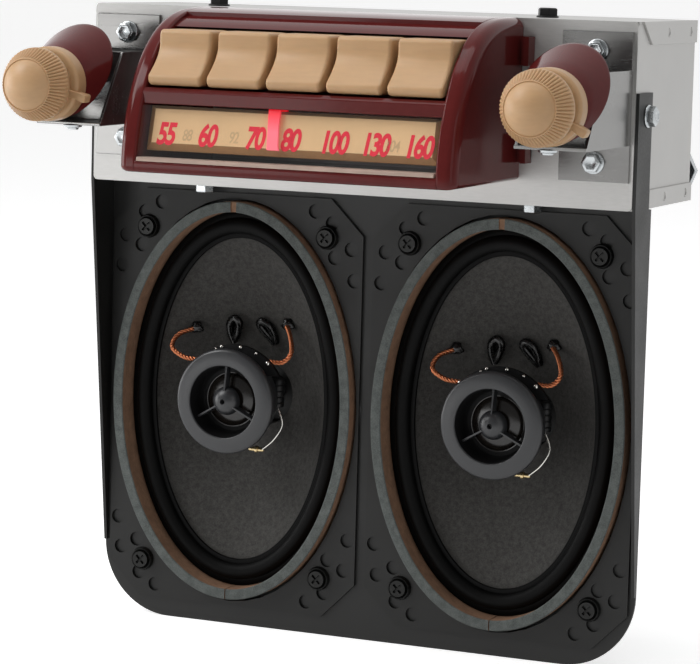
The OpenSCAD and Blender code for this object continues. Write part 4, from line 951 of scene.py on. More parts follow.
class RADIO_OT_dial(Operator):
    """Dial scale with its numbers, pointer and clear window"""
    bl_idname = "radio.dial"
    bl_label = "Dial"

    def execute(self, context):
        s = in_mm(context.scene.radio_front)
        self.scale(s)
        self.numbers("dial_numbers", DIAL_NUMBERS, dial_ink, s.digit, FIGURE_SWELL)
        self.numbers("faint_numbers", FAINT_NUMBERS, faint_ink, FAINT_SHARE * s.digit, FAINT_SWELL)
        self.pointer()
        self.window()
        dress("pointer_rail", zinc_plate)
        return {"FINISHED"}

    def scale(self, s):
        """Plate whose front edges are bevelled all round."""
        shape = Shape(dial_matrix())
        rings = []
        for inset, depth in DIAL_BEVEL:
            half = s.width / 2 - s.rim - DIAL_GAP - inset
            foot = -DIAL_H + inset * DIAL_FOOT_BEVEL
            top = -inset * DIAL_TOP_BEVEL
            rings.append([(-half, depth, foot), (half, depth, foot), (half, depth, top), (-half, depth, top)])
        shape.loft(rings)
        # The last face is the printed front; all others are its bevelled edges, which carry painted shade
        shape.finishes = [1] * (len(shape.faces) - 1) + [0]
        shape.stand_for(
            "dial_scale", "dial_plate", [printed_dial, dial_border], crease=math.radians(20))

    def numbers(self, name, marks, maker, tall, swell):
        """Row of printed numbers on the scale, one mesh."""
        place = dial_matrix()
        mesh = bpy.data.meshes.new(name)
        shell = bmesh.new()
        for text, x in marks:
            curve = bpy.data.curves.new(name, "FONT")
            curve.body = text
            curve.size = tall / FIGURE_SHARE
            curve.align_x = "CENTER"
            curve.align_y = "CENTER"
            curve.offset = swell
            curve.shear = FIGURE_LEAN
            curve.space_character = FIGURE_SPACE
            curve.extrude = INK_T
            curve.resolution_u = 6
            holder = bpy.data.objects.new(name, curve)
            bpy.context.scene.collection.objects.link(holder)
            graph = bpy.context.evaluated_depsgraph_get()
            flat = bpy.data.meshes.new_from_object(holder.evaluated_get(graph))
            narrow = Matrix.Diagonal((FIGURE_WIDTH, 1, 1, 1))
            upright = Matrix.Rotation(math.pi / 2, 4, "X")
            at = Matrix.Translation((x, -FIGURE_LIFT, FIGURE_DROP))
            flat.transform(place @ at @ upright @ narrow)
            shell.from_mesh(flat)
            bpy.data.objects.remove(holder)
        for vert in shell.verts:
            vert.co = (vert.co + CHASSIS_FRONT) * MM
        shell.to_mesh(mesh)
        shell.free()
        show(mesh, name, [maker], RADIO)

    def pointer(self):
        """Pointer blade that flares at its top, hooked over the scale to its carriage."""
        shape = Shape(dial_matrix() @ Matrix.Translation((POINTER_X, 0, 0)))
        shape.loft([[(x, y, z) for x, z in POINTER_BLADE] for y in (POINTER_FRONT, POINTER_BACK)])
        for half, front, back, foot, top in (
            (NECK_HALF, POINTER_BACK - 0.2, CARRIAGE_FRONT + HOOK_T, POINTER_TOP - HOOK_T, POINTER_TOP),
            (NECK_HALF, CARRIAGE_FRONT, CARRIAGE_FRONT + 1.2, CARRIAGE_TOP - 0.4, POINTER_TOP),
            (CARRIAGE_HALF, CARRIAGE_FRONT, CARRIAGE_BACK, CARRIAGE_FOOT, CARRIAGE_TOP),
        ):
            shape.box((-half, front, foot), (half, back, top))
        shape.stand_for("pointer", "pointer_blade", [fluorescent_acrylic], "pointer", soften=0.12)

    def window(self):
        """Clear sheet in front of the scale, with its foot on the sill tinted by a painted reflection of the
        scale.
        """
        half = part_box("dial_window")[1].x / MM
        shape = Shape(dial_matrix())
        shape.box((-half, WINDOW_FRONT, -WINDOW_H), (half, WINDOW_FRONT + WINDOW_T, -WINDOW_TOP))
        foot = shape.place @ Vector((0, WINDOW_FRONT, -WINDOW_H))
        shape.place = Matrix.Identity(4)
        shape.box((-half, foot.y, SILL_TOP), (half, foot.y + WINDOW_FOOT_D, SILL_TOP + WINDOW_FOOT_H), 1)
        shape.stand_for("dial_window", "dial_window_sheet", [cast_acrylic, ground_acrylic])


# Arms

STUD_PLACE = Vector((89, -44, -9.85))
STUD_PROFILE = ((0, 0.3), (2.4, 0.3), (3.4, 0), (3.2, -0.7), (2.2, -1.0), (1.9, -1.6), (0, -1.8))


class RADIO_OT_arms(Operator):
    """Folded dash arms with their clinched studs"""
    bl_idname = "radio.arms"
    bl_label = "Dash arms"

    def execute(self, context):
        for name, side in SIDES:
            formed("arm_" + name, pickled_sheet, soften=0.35)
            stud = Shape(on_side(STUD_PLACE, side) @ Matrix.Rotation(math.pi / 2, 4, "X"))
            stud.turn(STUD_PROFILE, 48)
            stud.piece(f"arm_stud_{name}", [zinc_plate], RADIO, "zinc_hardware")
        return {"FINISHED"}


# Knobs, rings and cups

SHAFT_X = {"left": JOINTS["volume_turn"]["pos_m"][0] / MM, "right": JOINTS["tuning_turn"]["pos_m"][0] / MM}
SHAFT_Z = -CHASSIS_FRONT.z
CONTROL_BODIES = {"left": ("volume_knob", "tone_ring"), "right": ("tuning_knob", "fader_ring")}
KNOB_BACK = -63.5
KNOB_EDGE = -71.9
RING_BACK = -52.0
RING_FRONT = -58.5
CUP_FRONT = -51.4
CUP_RIM = -43.0
CUP_FLARE = 0.38
CUP_T = 1.6
CUP_BORE = 5.25
CUP_EDGE_R = 1.0
DASH_LEAN = math.tan(math.radians(33))
KNOB_HUB_R = 5.2
KNOB_WALL = 1.6
KNOB_TAPER = 0.2
FLUTES = 60
STEPS_PER_FLUTE = 8
# Power of the sine across a flute: the lower it is, the narrower the flutes
FLUTE_POWER = 0.9
SKIRT_STEPS = 7
DOME_STEPS = 14
RING_BORE = 4.05
RING_EDGE_R = 1.5
RING_BACK_R = 0.6
RING_DISH = 3.0
LEVER_ANGLE = {"left": 16, "right": 29}
LEVER_REACH = 4.0
LEVER_ROOT_HALF = 1.2
LEVER_TIP_HALF = 1.5
LEVER_TIP_R = 0.8
# Depth of the lever and how far its outline is drawn in there
LEVER_EDGE = ((-55.2, 0.3), (-55.5, 0), (-58.9, 0), (-59.25, 0.12), (-59.4, 0.4))


def on_shaft(name):
    """Place of a control's shaft."""
    return Matrix.Translation((SHAFT_X[name], 0, SHAFT_Z))


class RADIO_OT_controls(Operator):
    """Concentric controls with fluted knobs, lever rings and slant-cut cups"""
    bl_idname = "radio.controls"
    bl_label = "Controls"

    def execute(self, context):
        s = in_mm(context.scene.radio_controls)
        for name, (knob_body, ring_body) in CONTROL_BODIES.items():
            self.knob(s, name, knob_body)
            self.lever_ring(s, name, ring_body)
            self.cup(s, name)
            for node in ("control_", "shaft_", "sleeve_"):
                dress(node + name, zinc_plate)
        dress("control_nuts", zinc_plate)
        return {"FINISHED"}

    def knob(self, s, name, body):
        """Knob with a smooth dome on a fluted, tapering skirt."""
        ball = (s.dome ** 2 + s.dome_rise ** 2) / (2 * s.dome_rise)
        reach = math.asin(s.dome / ball)
        hub = RING_FRONT - 1.2
        pocket = KNOB_BACK - 1.2
        foot_r, foot_y = s.knob - KNOB_TAPER, KNOB_BACK - 2.6
        end_r, end_y = s.dome + 0.75, KNOB_EDGE + 0.15
        # Radius, depth and share of the flutes' depth at each ring, from the back to the dome
        stations = [
            (0, hub, 0), (KNOB_HUB_R, hub, 0), (KNOB_HUB_R, pocket, 0), (s.knob - KNOB_WALL, pocket, 0),
            (s.knob - KNOB_WALL, KNOB_BACK, 0), (s.knob - 0.35, KNOB_BACK, 0),
            (s.knob - 0.1, KNOB_BACK - 0.2, 0), (s.knob, KNOB_BACK - 0.5, 0), (s.knob, KNOB_BACK - 1.3, 0),
            (s.knob, KNOB_BACK - 1.6, 0.25), (s.knob - 0.05, KNOB_BACK - 2.0, 0.7), (foot_r, foot_y, 1),
        ]
        for i in range(1, SKIRT_STEPS):
            t = i / SKIRT_STEPS
            stations.append((foot_r + (end_r - foot_r) * t, foot_y + (end_y - foot_y) * t, 1))
        stations += [
            (end_r + 0.12, end_y + 0.1, 0.6), (end_r, end_y, 0.15),
            (s.dome + 0.45, KNOB_EDGE - 0.05, 0), (s.dome + 0.2, KNOB_EDGE + 0.2, 0), (s.dome, KNOB_EDGE, 0),
        ]
        for i in range(1, DOME_STEPS + 1):
            a = reach * (1 - i / DOME_STEPS)
            stations.append((ball * math.sin(a), KNOB_EDGE - ball * (math.cos(a) - math.cos(reach)), 0))
        rings = []
        for r, y, amount in stations:
            ring = []
            for a in full_turn(FLUTES * STEPS_PER_FLUTE):
                dip = s.flute * amount * (1 - abs(math.sin(FLUTES * a / 2)) ** FLUTE_POWER)
                ring.append(((r - dip) * math.cos(a), y, (r - dip) * math.sin(a)))
            rings.append(ring)
        shape = Shape(on_shaft(name))
        shape.loft(rings)
        shape.stand_for("knob_" + name, f"knob_{name}_fluted", [moulded_caramel], body)

    def lever_ring(self, s, name, body):
        """Dished disc with a rounded edge and one finger lever."""
        dish = s.ring - RING_DISH
        floor = RING_FRONT + 2
        profile = [(RING_BORE, RING_BACK), (s.ring - RING_BACK_R, RING_BACK)]
        profile += arc((s.ring - RING_BACK_R, RING_BACK - RING_BACK_R), RING_BACK_R, 90, 0, 4)
        profile += arc((s.ring - RING_EDGE_R, RING_FRONT + RING_EDGE_R), RING_EDGE_R, 0, -90, 8)
        profile += arc((dish + 0.5, RING_FRONT + 0.5), 0.5, 270, 180, 4)
        profile += [(dish - 0.7, floor - 0.2), (dish - 1.1, floor), (RING_BORE, floor)]
        shape = Shape(on_shaft(name))
        shape.turn(profile, 120, hoop=True)
        shape.place = on_shaft(name) @ Matrix.Rotation(math.radians(LEVER_ANGLE[name]), 4, "Y")
        tip = s.ring + LEVER_REACH
        outline = filleted([
            (dish, -LEVER_ROOT_HALF, 0), (tip, -LEVER_TIP_HALF, LEVER_TIP_R),
            (tip, LEVER_TIP_HALF, LEVER_TIP_R), (dish, LEVER_ROOT_HALF, 0),
        ])
        rings = []
        for y, inset in LEVER_EDGE:
            rings.append([
                (s.ring + (x - s.ring) * (1 - 0.09 * inset) - inset * 0.4, y, z * (1 - 0.3 * inset))
                for x, z in outline])
        shape.loft(rings)
        shape.stand_for("ring_" + name, f"ring_{name}_lever", [moulded_caramel], body)

    def cup(self, s, name):
        """Flared cup whose rim is cut along the slope of the dash."""
        steps = 120

        def rim_depth(a, radius):
            """Depth of the slanting rim on a cone of that front radius."""
            slope = DASH_LEAN * math.sin(a)
            return (CUP_RIM + slope * (radius - CUP_FLARE * CUP_FRONT)) / (1 - slope * CUP_FLARE)

        def ring(radius, share, back=0.0):
            """Ring on the cone, a share of the way from the front to the rim."""
            points = []
            for a in full_turn(steps):
                y = CUP_FRONT + (rim_depth(a, radius) - CUP_FRONT) * share - back
                r = radius + CUP_FLARE * (y - CUP_FRONT)
                points.append((r * math.cos(a), y, r * math.sin(a)))
            return points

        def flat(radius, y):
            """Round ring at one depth."""
            return oval(radius, radius, y, steps)

        inner = s.cup - CUP_T
        rings = [flat(CUP_BORE, CUP_FRONT + CUP_T), flat(CUP_BORE, CUP_FRONT)]
        rings += [
            flat(s.cup - CUP_EDGE_R * (1 - math.sin(a)), CUP_FRONT + CUP_EDGE_R * (1 - math.cos(a)) * 0.9)
            for a in quarter_turn(6)[:-1]]
        rings += [ring(s.cup, t) for t in (0.2, 0.35, 0.5, 0.65, 0.8, 0.92)]
        rings += [ring(s.cup, 1, 0.5), ring(s.cup - 0.12, 1, 0.12), ring(s.cup - 0.4, 1)]
        rings += [ring(inner + 0.3, 1), ring(inner, 1, 0.25)]
        rings += [ring(inner, t) for t in (0.7, 0.4)]
        rings.append(flat(inner + CUP_FLARE * CUP_T, CUP_FRONT + CUP_T))
        shape = Shape(on_shaft(name))
        shape.loft(rings, hoop=True)
        shape.stand_for("cup_" + name, f"cup_{name}_moulding", [moulded_maroon])


# Fasteners

HEX_ACROSS = 6.2
# Shank and washer flange: radius and height
HEX_FLANGE = ((0, -5), (1.8, -5), (1.8, 0), (3.8, 0), (4, 0.2), (3.9, 0.55), (3.2, 0.8), (0, 0.8))
# Rings of the head: share of the corner radius, and height
HEX_RINGS = ((1, 0.6), (1, 2.8), (0.96, 3.1), (0.8, 3.4), (0.62, 3.4), (0.5, 3.15), (0, 3.1))
HEX_SOFTEN = 0.12
ARM_SCREW_RISE = 19.15
ARM_SCREWS = [Vector((90.2, -1.2, 3 + rise)) for rise in (-ARM_SCREW_RISE, ARM_SCREW_RISE)]
TOP_SCREW = Vector((64, 20, 32.3))
BOTTOM_SCREW = Vector((64, 11, -32.3))
EAR_SCREW = Vector((105.4, 10, 0))


def hex_screw(shape):
    """Hexagon screw with its washer flange, pointing up from the shape's place."""
    upright = shape.place
    shape.place = upright @ Matrix.Rotation(math.pi / 2, 4, "X")
    shape.turn(HEX_FLANGE, 48)
    corner = HEX_ACROSS / 2 / math.cos(math.pi / 6)
    shape.loft([oval(corner * share, corner * share, y, 6) for share, y in HEX_RINGS])
    shape.place = upright


class RADIO_OT_fasteners(Operator):
    """Hexagon screws of the case, arms and bracket, and the speakers' screws and washers"""
    bl_idname = "radio.fasteners"
    bl_label = "Fasteners"

    def execute(self, context):
        forward = Matrix.Rotation(math.pi / 2, 4, "X")
        down = Matrix.Rotation(math.pi, 4, "X")
        arms, top, foot, ears = [], [], [], []
        for side in (-1, 1):
            arms += [on_side(spot, side) @ forward for spot in ARM_SCREWS]
            top.append(on_side(TOP_SCREW, side))
            foot.append(on_side(BOTTOM_SCREW, side) @ down)
            ears.append(on_side(EAR_SCREW, side) @ Matrix.Rotation(side * math.pi / 2, 4, "Y"))
        for node, name, places, maker in (
            ("arm_screws", "arm_hex_screws", arms, zinc_plate),
            ("case_screws", "top_hex_screws", top, black_oxide),
            ("case_screws", "bottom_hex_screws", foot, zinc_plate),
            ("bracket_screws", "ear_hex_screws", ears, zinc_plate),
        ):
            shape = Shape()
            for place in places:
                shape.place = place
                hex_screw(shape)
            shape.stand_for(node, name, [maker], soften=HEX_SOFTEN)
        for node in ("speaker_screws", "cup_washers"):
            formed(node, black_oxide, soften=0.15)
        return {"FINISHED"}


# Speaker bracket

class RADIO_OT_bracket(Operator):
    """Enamelled sheet bracket with its ears"""
    bl_idname = "radio.bracket"
    bl_label = "Speaker bracket"

    def execute(self, context):
        formed("speaker_bracket", stove_enamel, soften=0.35)
        return {"FINISHED"}


# Speakers

SPEAKER_MID = Vector((52.5, 15.5, -112.6))
SURROUND_FIT = 0.2
SURROUND_EDGE = 2.2
SURROUND_T = 0.8
CONE_LIP = 1.6
CONE_SEAT = 0.3
CONE_T = 1.28
CONE_RIM_T = 0.8
# Below 1 the cone is steeper at its edge than at its neck
CONE_CURVE = 0.85
COIL_DEPTH = 5.0
GASKET_TOP_GAP = 2.2
GASKET_FOOT_GAP = 0.4
COIL_R = 12.2
FORMER_R = 12.8
TWEETER_FRONT = -9.6
TWEETER_LIFT = 0.8
BULLET_R = 5.3
DIAPHRAGM_RISE = 2.2
FIN_ANGLES = (90, 210, 330)
POST_R = 4.6
BOARD_R = 21.0
BOARD_Y = (0.2, 1.8)
PLATE_Y = 36.7
# Solder dots on the terminal board: X, Z and radius
SOLDER_DOTS = (
    (-15.4, 14.2, 1.0), (13.4, 15, 0.9), (-7.6, 18.9, 0.55), (-5.4, 19.9, 0.75), (2.3, 20.2, 0.75),
    (8.8, 18.4, 0.6),
)
SOLDER_Y = 0.1
PIN_PLACE = (8.4, 3.2, -17.7)
PIN_PROFILE = (
    (0, -3), (0.6, -3), (0.8, -2.7), (0.8, -0.5), (1.25, -0.4), (1.25, 0.6), (0.8, 0.7), (0.8, 2.6),
    (0.6, 3), (0, 3),
)
LEAD_ROUTES = (
    ((-16.5, 2.8, 14), (-22, 2.4, 14.6), (-27.4, 3.4, 17.8), (-27, 7.6, 22), (-22.6, 12.6, 24.2)),
    ((13, 2.8, 15.4), (18.4, 2.6, 15.6), (21.4, 3.6, 19.2), (18.4, 9, 24.4), (13.6, 15.6, 27.6)),
)
STRANDS = 3
STRAND_PITCH = 4.2
# Radius of a strand and of its winding, as shares of the lead's radius
STRAND_R = 0.5
STRAND_WINDING = 0.56
CEMENT_SIZE = (2.6, 1.5, 2.1)
# Foot and top of each wire loop on the cone
EYELETS = (((-10.2, 20.9, 19.8), (-8, 18.2, 28.4)), ((6.6, 21.9, 20.2), (2.6, 19.4, 28)))
EYELET_R = 1.5
WIRE_ROUTE = ((15, 6.6, -2), (17.5, 5.5, -8), (15.2, 3.4, -13.5), (11, 2.6, -17.4))
WIRE_R = 0.4
SLEEVE_R = 2.4
SLEEVE_L = 11.0
SLEEVE_RIBS = 4
RIB_PITCH = 2.2


def at_speaker(side):
    """Place of a speaker's middle, at its frame's face."""
    return on_side(SPEAKER_MID, side)


def flex(piece, side, outer, inner):
    """Bakes a speaker's ring into place and finds, for each of its points, the share of the way from the outer
    oval to the inner one; the shares are not used.
    """
    centre = (at_speaker(side).translation + CHASSIS_FRONT) * MM
    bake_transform(piece)
    for vert in piece.data.vertices:
        p = (vert.co - centre) / MM
        # Halves the span of shares that holds the oval through this point
        low, high = 0.0, 1.0
        for _ in range(24):
            middle = (low + high) / 2
            a = outer[0] + (inner[0] - outer[0]) * middle
            b = outer[1] + (inner[1] - outer[1]) * middle
            if (p.x / a) ** 2 + (p.z / b) ** 2 > 1:
                high = middle
            else:
                low = middle


class RADIO_OT_speakers(Operator):
    """Oval speakers: frame, gasket, surround, cone, spider, motor, tweeter and leads"""
    bl_idname = "radio.speakers"
    bl_label = "Speakers"

    def execute(self, context):
        s = in_mm(context.scene.radio_speakers)
        for name, side in SIDES:
            formed("frame_" + name, frame_lacquer, soften=0.3)
            formed("magnet_" + name, sintered_ferrite, soften=0.5)
            formed("yoke_" + name, stove_enamel, soften=0.5)
            self.gasket(s, name, side)
            self.surround(s, name, side)
            self.cone(s, name, side)
            self.spider(s, name, side)
            self.tweeter(s, name, side)
            self.leads(s, name, side)
            self.capacitor(name, side)
        return {"FINISHED"}

    def gasket(self, s, name, side):
        """Fibre gasket in two halves, with card sides and a card filler in the upper joint."""
        steps = 96
        soft = 0.35
        section = (
            (0, s.seat), (0, -s.stand + soft), (soft, -s.stand),
            (s.band - soft, -s.stand), (s.band, -s.stand + soft), (s.band, s.seat),
        )
        fibre_rows = (1, 2, 3)
        rows = len(section)
        middle = s.gasket_a - s.band / 2
        first = -math.pi / 2 + GASKET_FOOT_GAP / 2 / middle
        last = math.pi / 2 - GASKET_TOP_GAP / 2 / middle
        turns = [first + (last - first) * i / steps for i in range(steps + 1)]
        shape = Shape(at_speaker(side))
        for half in (-1, 1):
            points = [
                (half * (s.gasket_a - inset) * math.cos(t), y, (s.gasket_b - inset) * math.sin(t))
                for t in turns for inset, y in section]
            fibre = []
            card = [list(range(rows)), [steps * rows + r for r in reversed(range(rows))]]
            for r in range(rows):
                k = (r + 1) % rows
                wall = fibre if r in fibre_rows else card
                wall += [
                    [i * rows + r, (i + 1) * rows + r, (i + 1) * rows + k, i * rows + k]
                    for i in range(steps)]
            shape.add(points, fibre, 0)
            shape.add(points, card, 1)
        filler = GASKET_TOP_GAP / 2 - 0.05
        shape.box(
            (-filler, -s.stand + 0.5, s.gasket_b - s.band + 0.1), (filler, s.seat, s.gasket_b - 0.15), 1)
        shape.stand_for("gasket_" + name, f"gasket_{name}_ring", [pressed_fibre, cut_card])

    def surround(self, s, name, side):
        """Rubber half roll that flexes between the frame and the cone."""
        a, b = (half - s.band - SURROUND_FIT for half in (s.gasket_a, s.gasket_b))
        mid = SURROUND_EDGE + s.roll / 2
        outer = [(mid - x, -SURROUND_T - y) for x, y in self.half_roll(s.roll / 2, s.roll_rise, 18)]
        inner = [(mid - x, -y) for x, y in self.half_roll(s.roll / 2 - SURROUND_T, s.roll_rise - 0.2, 18)]
        end = SURROUND_EDGE + s.roll + CONE_LIP
        profile = [(0, 0), (0, -SURROUND_T + 0.2), (0.2, -SURROUND_T)] + outer
        profile += [(end - 0.2, -SURROUND_T), (end, -SURROUND_T + 0.3), (end, 0)] + inner[::-1]
        shape = Shape(at_speaker(side))
        shape.loft([oval(a - x, b - x, s.seat + y) for x, y in profile], hoop=True)
        piece = shape.stand_for(
            "surround_" + name, f"surround_{name}_roll", [butyl_rubber], None, crease=math.radians(50))
        outer_oval = (a - SURROUND_EDGE, b - SURROUND_EDGE)
        inner_oval = (a - SURROUND_EDGE - s.roll, b - SURROUND_EDGE - s.roll)
        flex(piece, side, outer_oval, inner_oval)

    def half_roll(self, reach, rise, steps):
        """Points over half a roll, from its outer foot to its inner foot."""
        angles = [math.pi * i / steps for i in range(steps + 1)]
        return [(reach * math.cos(a), rise * math.sin(a)) for a in angles]

    def cone(self, s, name, side):
        """Paper cone and its voice-coil former as one wall."""
        a, b = (half - s.band - SURROUND_FIT - SURROUND_EDGE - s.roll for half in (s.gasket_a, s.gasket_b))
        edge = s.seat + CONE_SEAT
        tail = PLATE_Y + COIL_DEPTH
        steps = 28

        def ring(t, end, back):
            """Ring of the cone between its edge and its neck."""
            return oval(a + (end - a) * t, b + (end - b) * t, edge + s.cone_depth * t ** CONE_CURVE + back)

        rings = [ring(i / steps, COIL_R, 0) for i in range(steps + 1)]
        rings += [oval(COIL_R, COIL_R, tail), oval(FORMER_R, FORMER_R, tail)]
        rings += [ring(i / steps, FORMER_R, CONE_T) for i in range(steps, 0, -1)]
        rings.append(oval(a, b, edge + CONE_RIM_T))
        shape = Shape(at_speaker(side))
        shape.loft(rings, hoop=True)
        shape.stand_for("cone_" + name, f"cone_{name}_paper", [pulp_paper], name + "_cone")

    def spider(self, s, name, side):
        """Corrugated cloth that flexes between the basket and the former."""
        inner, landing, outer = FORMER_R + 0.35, 28.5, 31.5
        seat, waves, steps = 31.5, 4, 64
        thick, sunk, swing = 0.6, 1.6, 0.8
        face = []
        for i in range(steps + 1):
            t = i / steps
            r = inner + (landing - thick - inner) * t
            face.append((r, seat - sunk + swing * math.cos(2 * math.pi * waves * t)))
        profile = face + [(landing, seat - thick), (outer, seat - thick), (outer, seat), (landing, seat)]
        profile += [(r, y + thick) for r, y in reversed(face)]
        shape = Shape(at_speaker(side))
        shape.turn(profile, 96, hoop=True)
        piece = shape.stand_for("spider_" + name, f"spider_{name}_cloth", [resin_cloth], None)
        neck = inner + 0.5
        flex(piece, side, (landing, landing), (neck, neck))

    def tweeter(self, s, name, side):
        """Coaxial tweeter: flanged horn, varnished dome, bullet on three fins, and the terminal board."""
        steps = 120
        front = TWEETER_FRONT
        bowl = -1.2
        dome = s.mouth - 3.5
        edge, inner_edge = 1.7, 0.6
        outer = [(0, PLATE_Y), (POST_R, PLATE_Y), (POST_R, 4), (s.tweeter - 3.4, 4)]
        outer += [(s.tweeter - 3.2, front + 4.8), (s.tweeter - 0.5, front + 4.2)]
        outer += arc((s.tweeter - edge, front + edge + 1), edge, 0, -80, 10)
        outer += arc((s.mouth + inner_edge, front + inner_edge), inner_edge, -100, -180, 6)
        inner = [(s.mouth - 0.2, front + 2), (s.mouth - 0.6, bowl - 2), (s.mouth - 1, bowl - 0.8)]
        inner += [(s.mouth - 1.7, bowl), (dome, bowl)]
        place = at_speaker(side) @ Matrix.Translation((0, 0, TWEETER_LIFT))
        shape = Shape(place)
        shape.turn(outer + inner, steps)
        # Faces past the outer profile are the horn's inside, which gets painted shade
        skin = (len(outer) - 1) * steps
        shape.finishes[skin:] = [2] * (len(shape.finishes) - skin)
        crown = bowl - 0.1
        cap = [(0, bowl + 0.3), (dome + 0.3, bowl + 0.3), (dome + 0.3, bowl - 0.15)]
        cap += [(dome * math.cos(a), crown - DIAPHRAGM_RISE * math.sin(a)) for a in quarter_turn(15)[:-1]]
        cap.append((0, crown - DIAPHRAGM_RISE))
        shape.turn(cap, 96, finish_index=1)
        back = bowl - 2.6
        waist = back - 1.6
        bullet = [(0, back), (2.6, back), (4.4, back - 0.7), (BULLET_R, waist)]
        bullet += [
            (BULLET_R * math.cos(a), waist + (front - waist) * math.sin(a)) for a in quarter_turn(12)[1:11]]
        bullet += [(1.0, front + 0.06), (0.85, front + 0.3), (0.8, front + 2.4), (0, front + 2.4)]
        shape.turn(bullet, 72)
        # Radius, heights of root and tip, and half widths there
        fin_rings = ((2.8, 0.4, 4.6, 0.5, 0.3), (9, 0.4, 3.4, 0.5, 0.3), (s.mouth + 0.8, 0.2, 2.6, 0.6, 0.4))
        fin = [
            [(r, back - y, z) for y, z in ((root, -thick), (tip, -thin), (tip, thin), (root, thick))]
            for r, root, tip, thick, thin in fin_rings]
        for angle in FIN_ANGLES:
            shape.place = place @ Matrix.Rotation(math.radians(-angle), 4, "Y")
            shape.loft(fin)
        shape.place = at_speaker(side)
        angles = [math.radians(a) for a in range(30, 151, 4)]
        board = [(BOARD_R * math.cos(a), BOARD_R * math.sin(a)) for a in angles]
        # The terminal board behind the tweeter gets the same painted shade
        shape.loft([[(x, y, z) for x, z in board] for y in BOARD_Y], finish_index=2)
        shape.stand_for(
            "tweeter_" + name, f"tweeter_{name}_horn", [moulded_black, varnished_dome, horn_black])
        self.terminals(name, side)

    def terminals(self, name, side):
        """Solder on the terminal board and the brass terminal under the tweeter."""
        dots = Shape()
        for x, z, r in SOLDER_DOTS:
            dots.place = at_speaker(side) @ Matrix.Translation((x, SOLDER_Y, z))
            dots.turn([(0, 0.3), (r, 0.3), (r * 0.95, 0), (r * 0.7, -0.3), (r * 0.3, -0.5), (0, -0.55)], 24)
        dots.piece(f"solder_{name}", [solder], RADIO, "zinc_hardware")
        pin = Shape(
            at_speaker(side) @ Matrix.Translation(PIN_PLACE) @ Matrix.Rotation(-math.pi / 2, 4, "Z"))
        pin.turn(PIN_PROFILE, 32)
        pin.piece(f"terminal_{name}", [brass], RADIO, "zinc_hardware")

    def leads(self, s, name, side):
        """Two braided leads from the terminal board to the cone, and the cement where they end."""
        for k, points in enumerate(LEAD_ROUTES):
            route = smooth_route(points, 22)
            travelled = 0.0
            tracks = [[] for _ in range(STRANDS)]
            for i, (point, (u, v)) in enumerate(zip(route, cross_frames(route))):
                if i:
                    travelled += (point - route[i - 1]).length
                for j, track in enumerate(tracks):
                    a = 2 * math.pi * (travelled / STRAND_PITCH + j / STRANDS)
                    track.append(point + s.lead * STRAND_WINDING * (u * math.cos(a) + v * math.sin(a)))
            shape = Shape(at_speaker(side))
            for track in tracks:
                shape.tube(track, s.lead * STRAND_R, 8)
            stands = ["leads_" + name] if k == 0 else []
            piece = shape.piece(
                f"lead_{name}_{k + 1}", [copper_strand], None, SLOTS["leads_" + name], stands,
                crease=math.radians(60))
            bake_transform(piece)
            self.cement(f"cement_{name}_{k + 1}", side, name, route[-1])
        for k, (low, high) in enumerate(EYELETS):
            self.eyelet(f"eyelet_{name}_{k + 1}", side, name, Vector(low), Vector(high))

    def cement(self, label, side, name, point):
        """Lump of cement that holds a lead to the cone."""
        shape = Shape(at_speaker(side) @ Matrix.Translation(point + Vector((0.4, 0.3, 0.3))))
        wide, deep, tall = CEMENT_SIZE
        rings = []
        for i in range(13):
            t = math.pi * i / 12
            ring = []
            for a in full_turn(24):
                lump = 1 + 0.16 * math.sin(3 * a + 2 * t) + 0.1 * math.cos(5 * a - 3 * t)
                r = math.sin(t) * lump
                ring.append((wide * r * math.cos(a), -deep * math.cos(t) + 0.2 * r, tall * r * math.sin(a)))
            rings.append(ring)
        shape.loft(rings)
        shape.piece(label, [rubber_cement], name + "_cone", "black_rubber", crease=math.radians(80))

    def eyelet(self, label, side, name, low, high):
        """Black sleeved loop of tinsel wire cemented to the cone."""
        way = high - low
        across = Vector((2.1, -0.4, 0))
        lift = Vector((0, -0.9, 0))
        loop = [low, low + way * 0.35 + across * 0.7 + lift, low + way * 0.8 + across + lift * 1.6,
                low + way * 1.02 + lift * 1.8, low + way * 0.8 - across + lift * 1.6,
                low + way * 0.35 - across * 0.7 + lift, low + Vector((0, 0.2, -0.6))]
        shape = Shape(at_speaker(side))
        shape.tube(smooth_route(loop, 8), EYELET_R, 10)
        shape.piece(label, [rubber_cement], name + "_cone", "black_rubber", crease=math.radians(60))

    def capacitor(self, name, side):
        """Sleeved capacitor behind the tweeter, with its bare wire to the brass terminal."""
        foot = Vector(WIRE_ROUTE[0])
        shape = Shape(at_speaker(side) @ Matrix.Translation(foot) @ Matrix.Rotation(math.pi / 2, 4, "X"))
        r, end = SLEEVE_R, SLEEVE_L
        profile = [(0, 0), (r - 1, 0), (r - 0.3, 0.25), (r, 0.8)]
        for i in range(SLEEVE_RIBS):
            y = 1.6 + RIB_PITCH * i
            profile += [(r, y), (r - 0.25, y + 0.35), (r, y + 0.7)]
        profile += [(r, end - 0.8), (r - 0.3, end - 0.25), (r - 1, end), (0, end)]
        shape.turn(profile, 40)
        shape.place = at_speaker(side)
        route = smooth_route([foot + Vector((0, 0, 0.5)), *WIRE_ROUTE], 8)
        shape.tube(route, WIRE_R, 8, 1)
        shape.stand_for("capacitor_" + name, f"capacitor_{name}_sleeve", [shrink_sleeve, solder])


# Stage

FLOOR_HALF = 30.0
FLOOR_GREY = 0.86
FLOOR_ROUGHNESS = 0.9
FLOOR_GLOW = 0.6
# Light that falls on the radio from the room
ROOM_FILL = 0.34
# Brightness that mirrors see in front of the radio and behind it, and the directions along Y between the two
ROOM_FRONT = 0.22
ROOM_BACK = 1.0
ROOM_SPAN = (-0.6, 0.5)
LAMP_AIM = Vector((0, 0.03, -0.06))
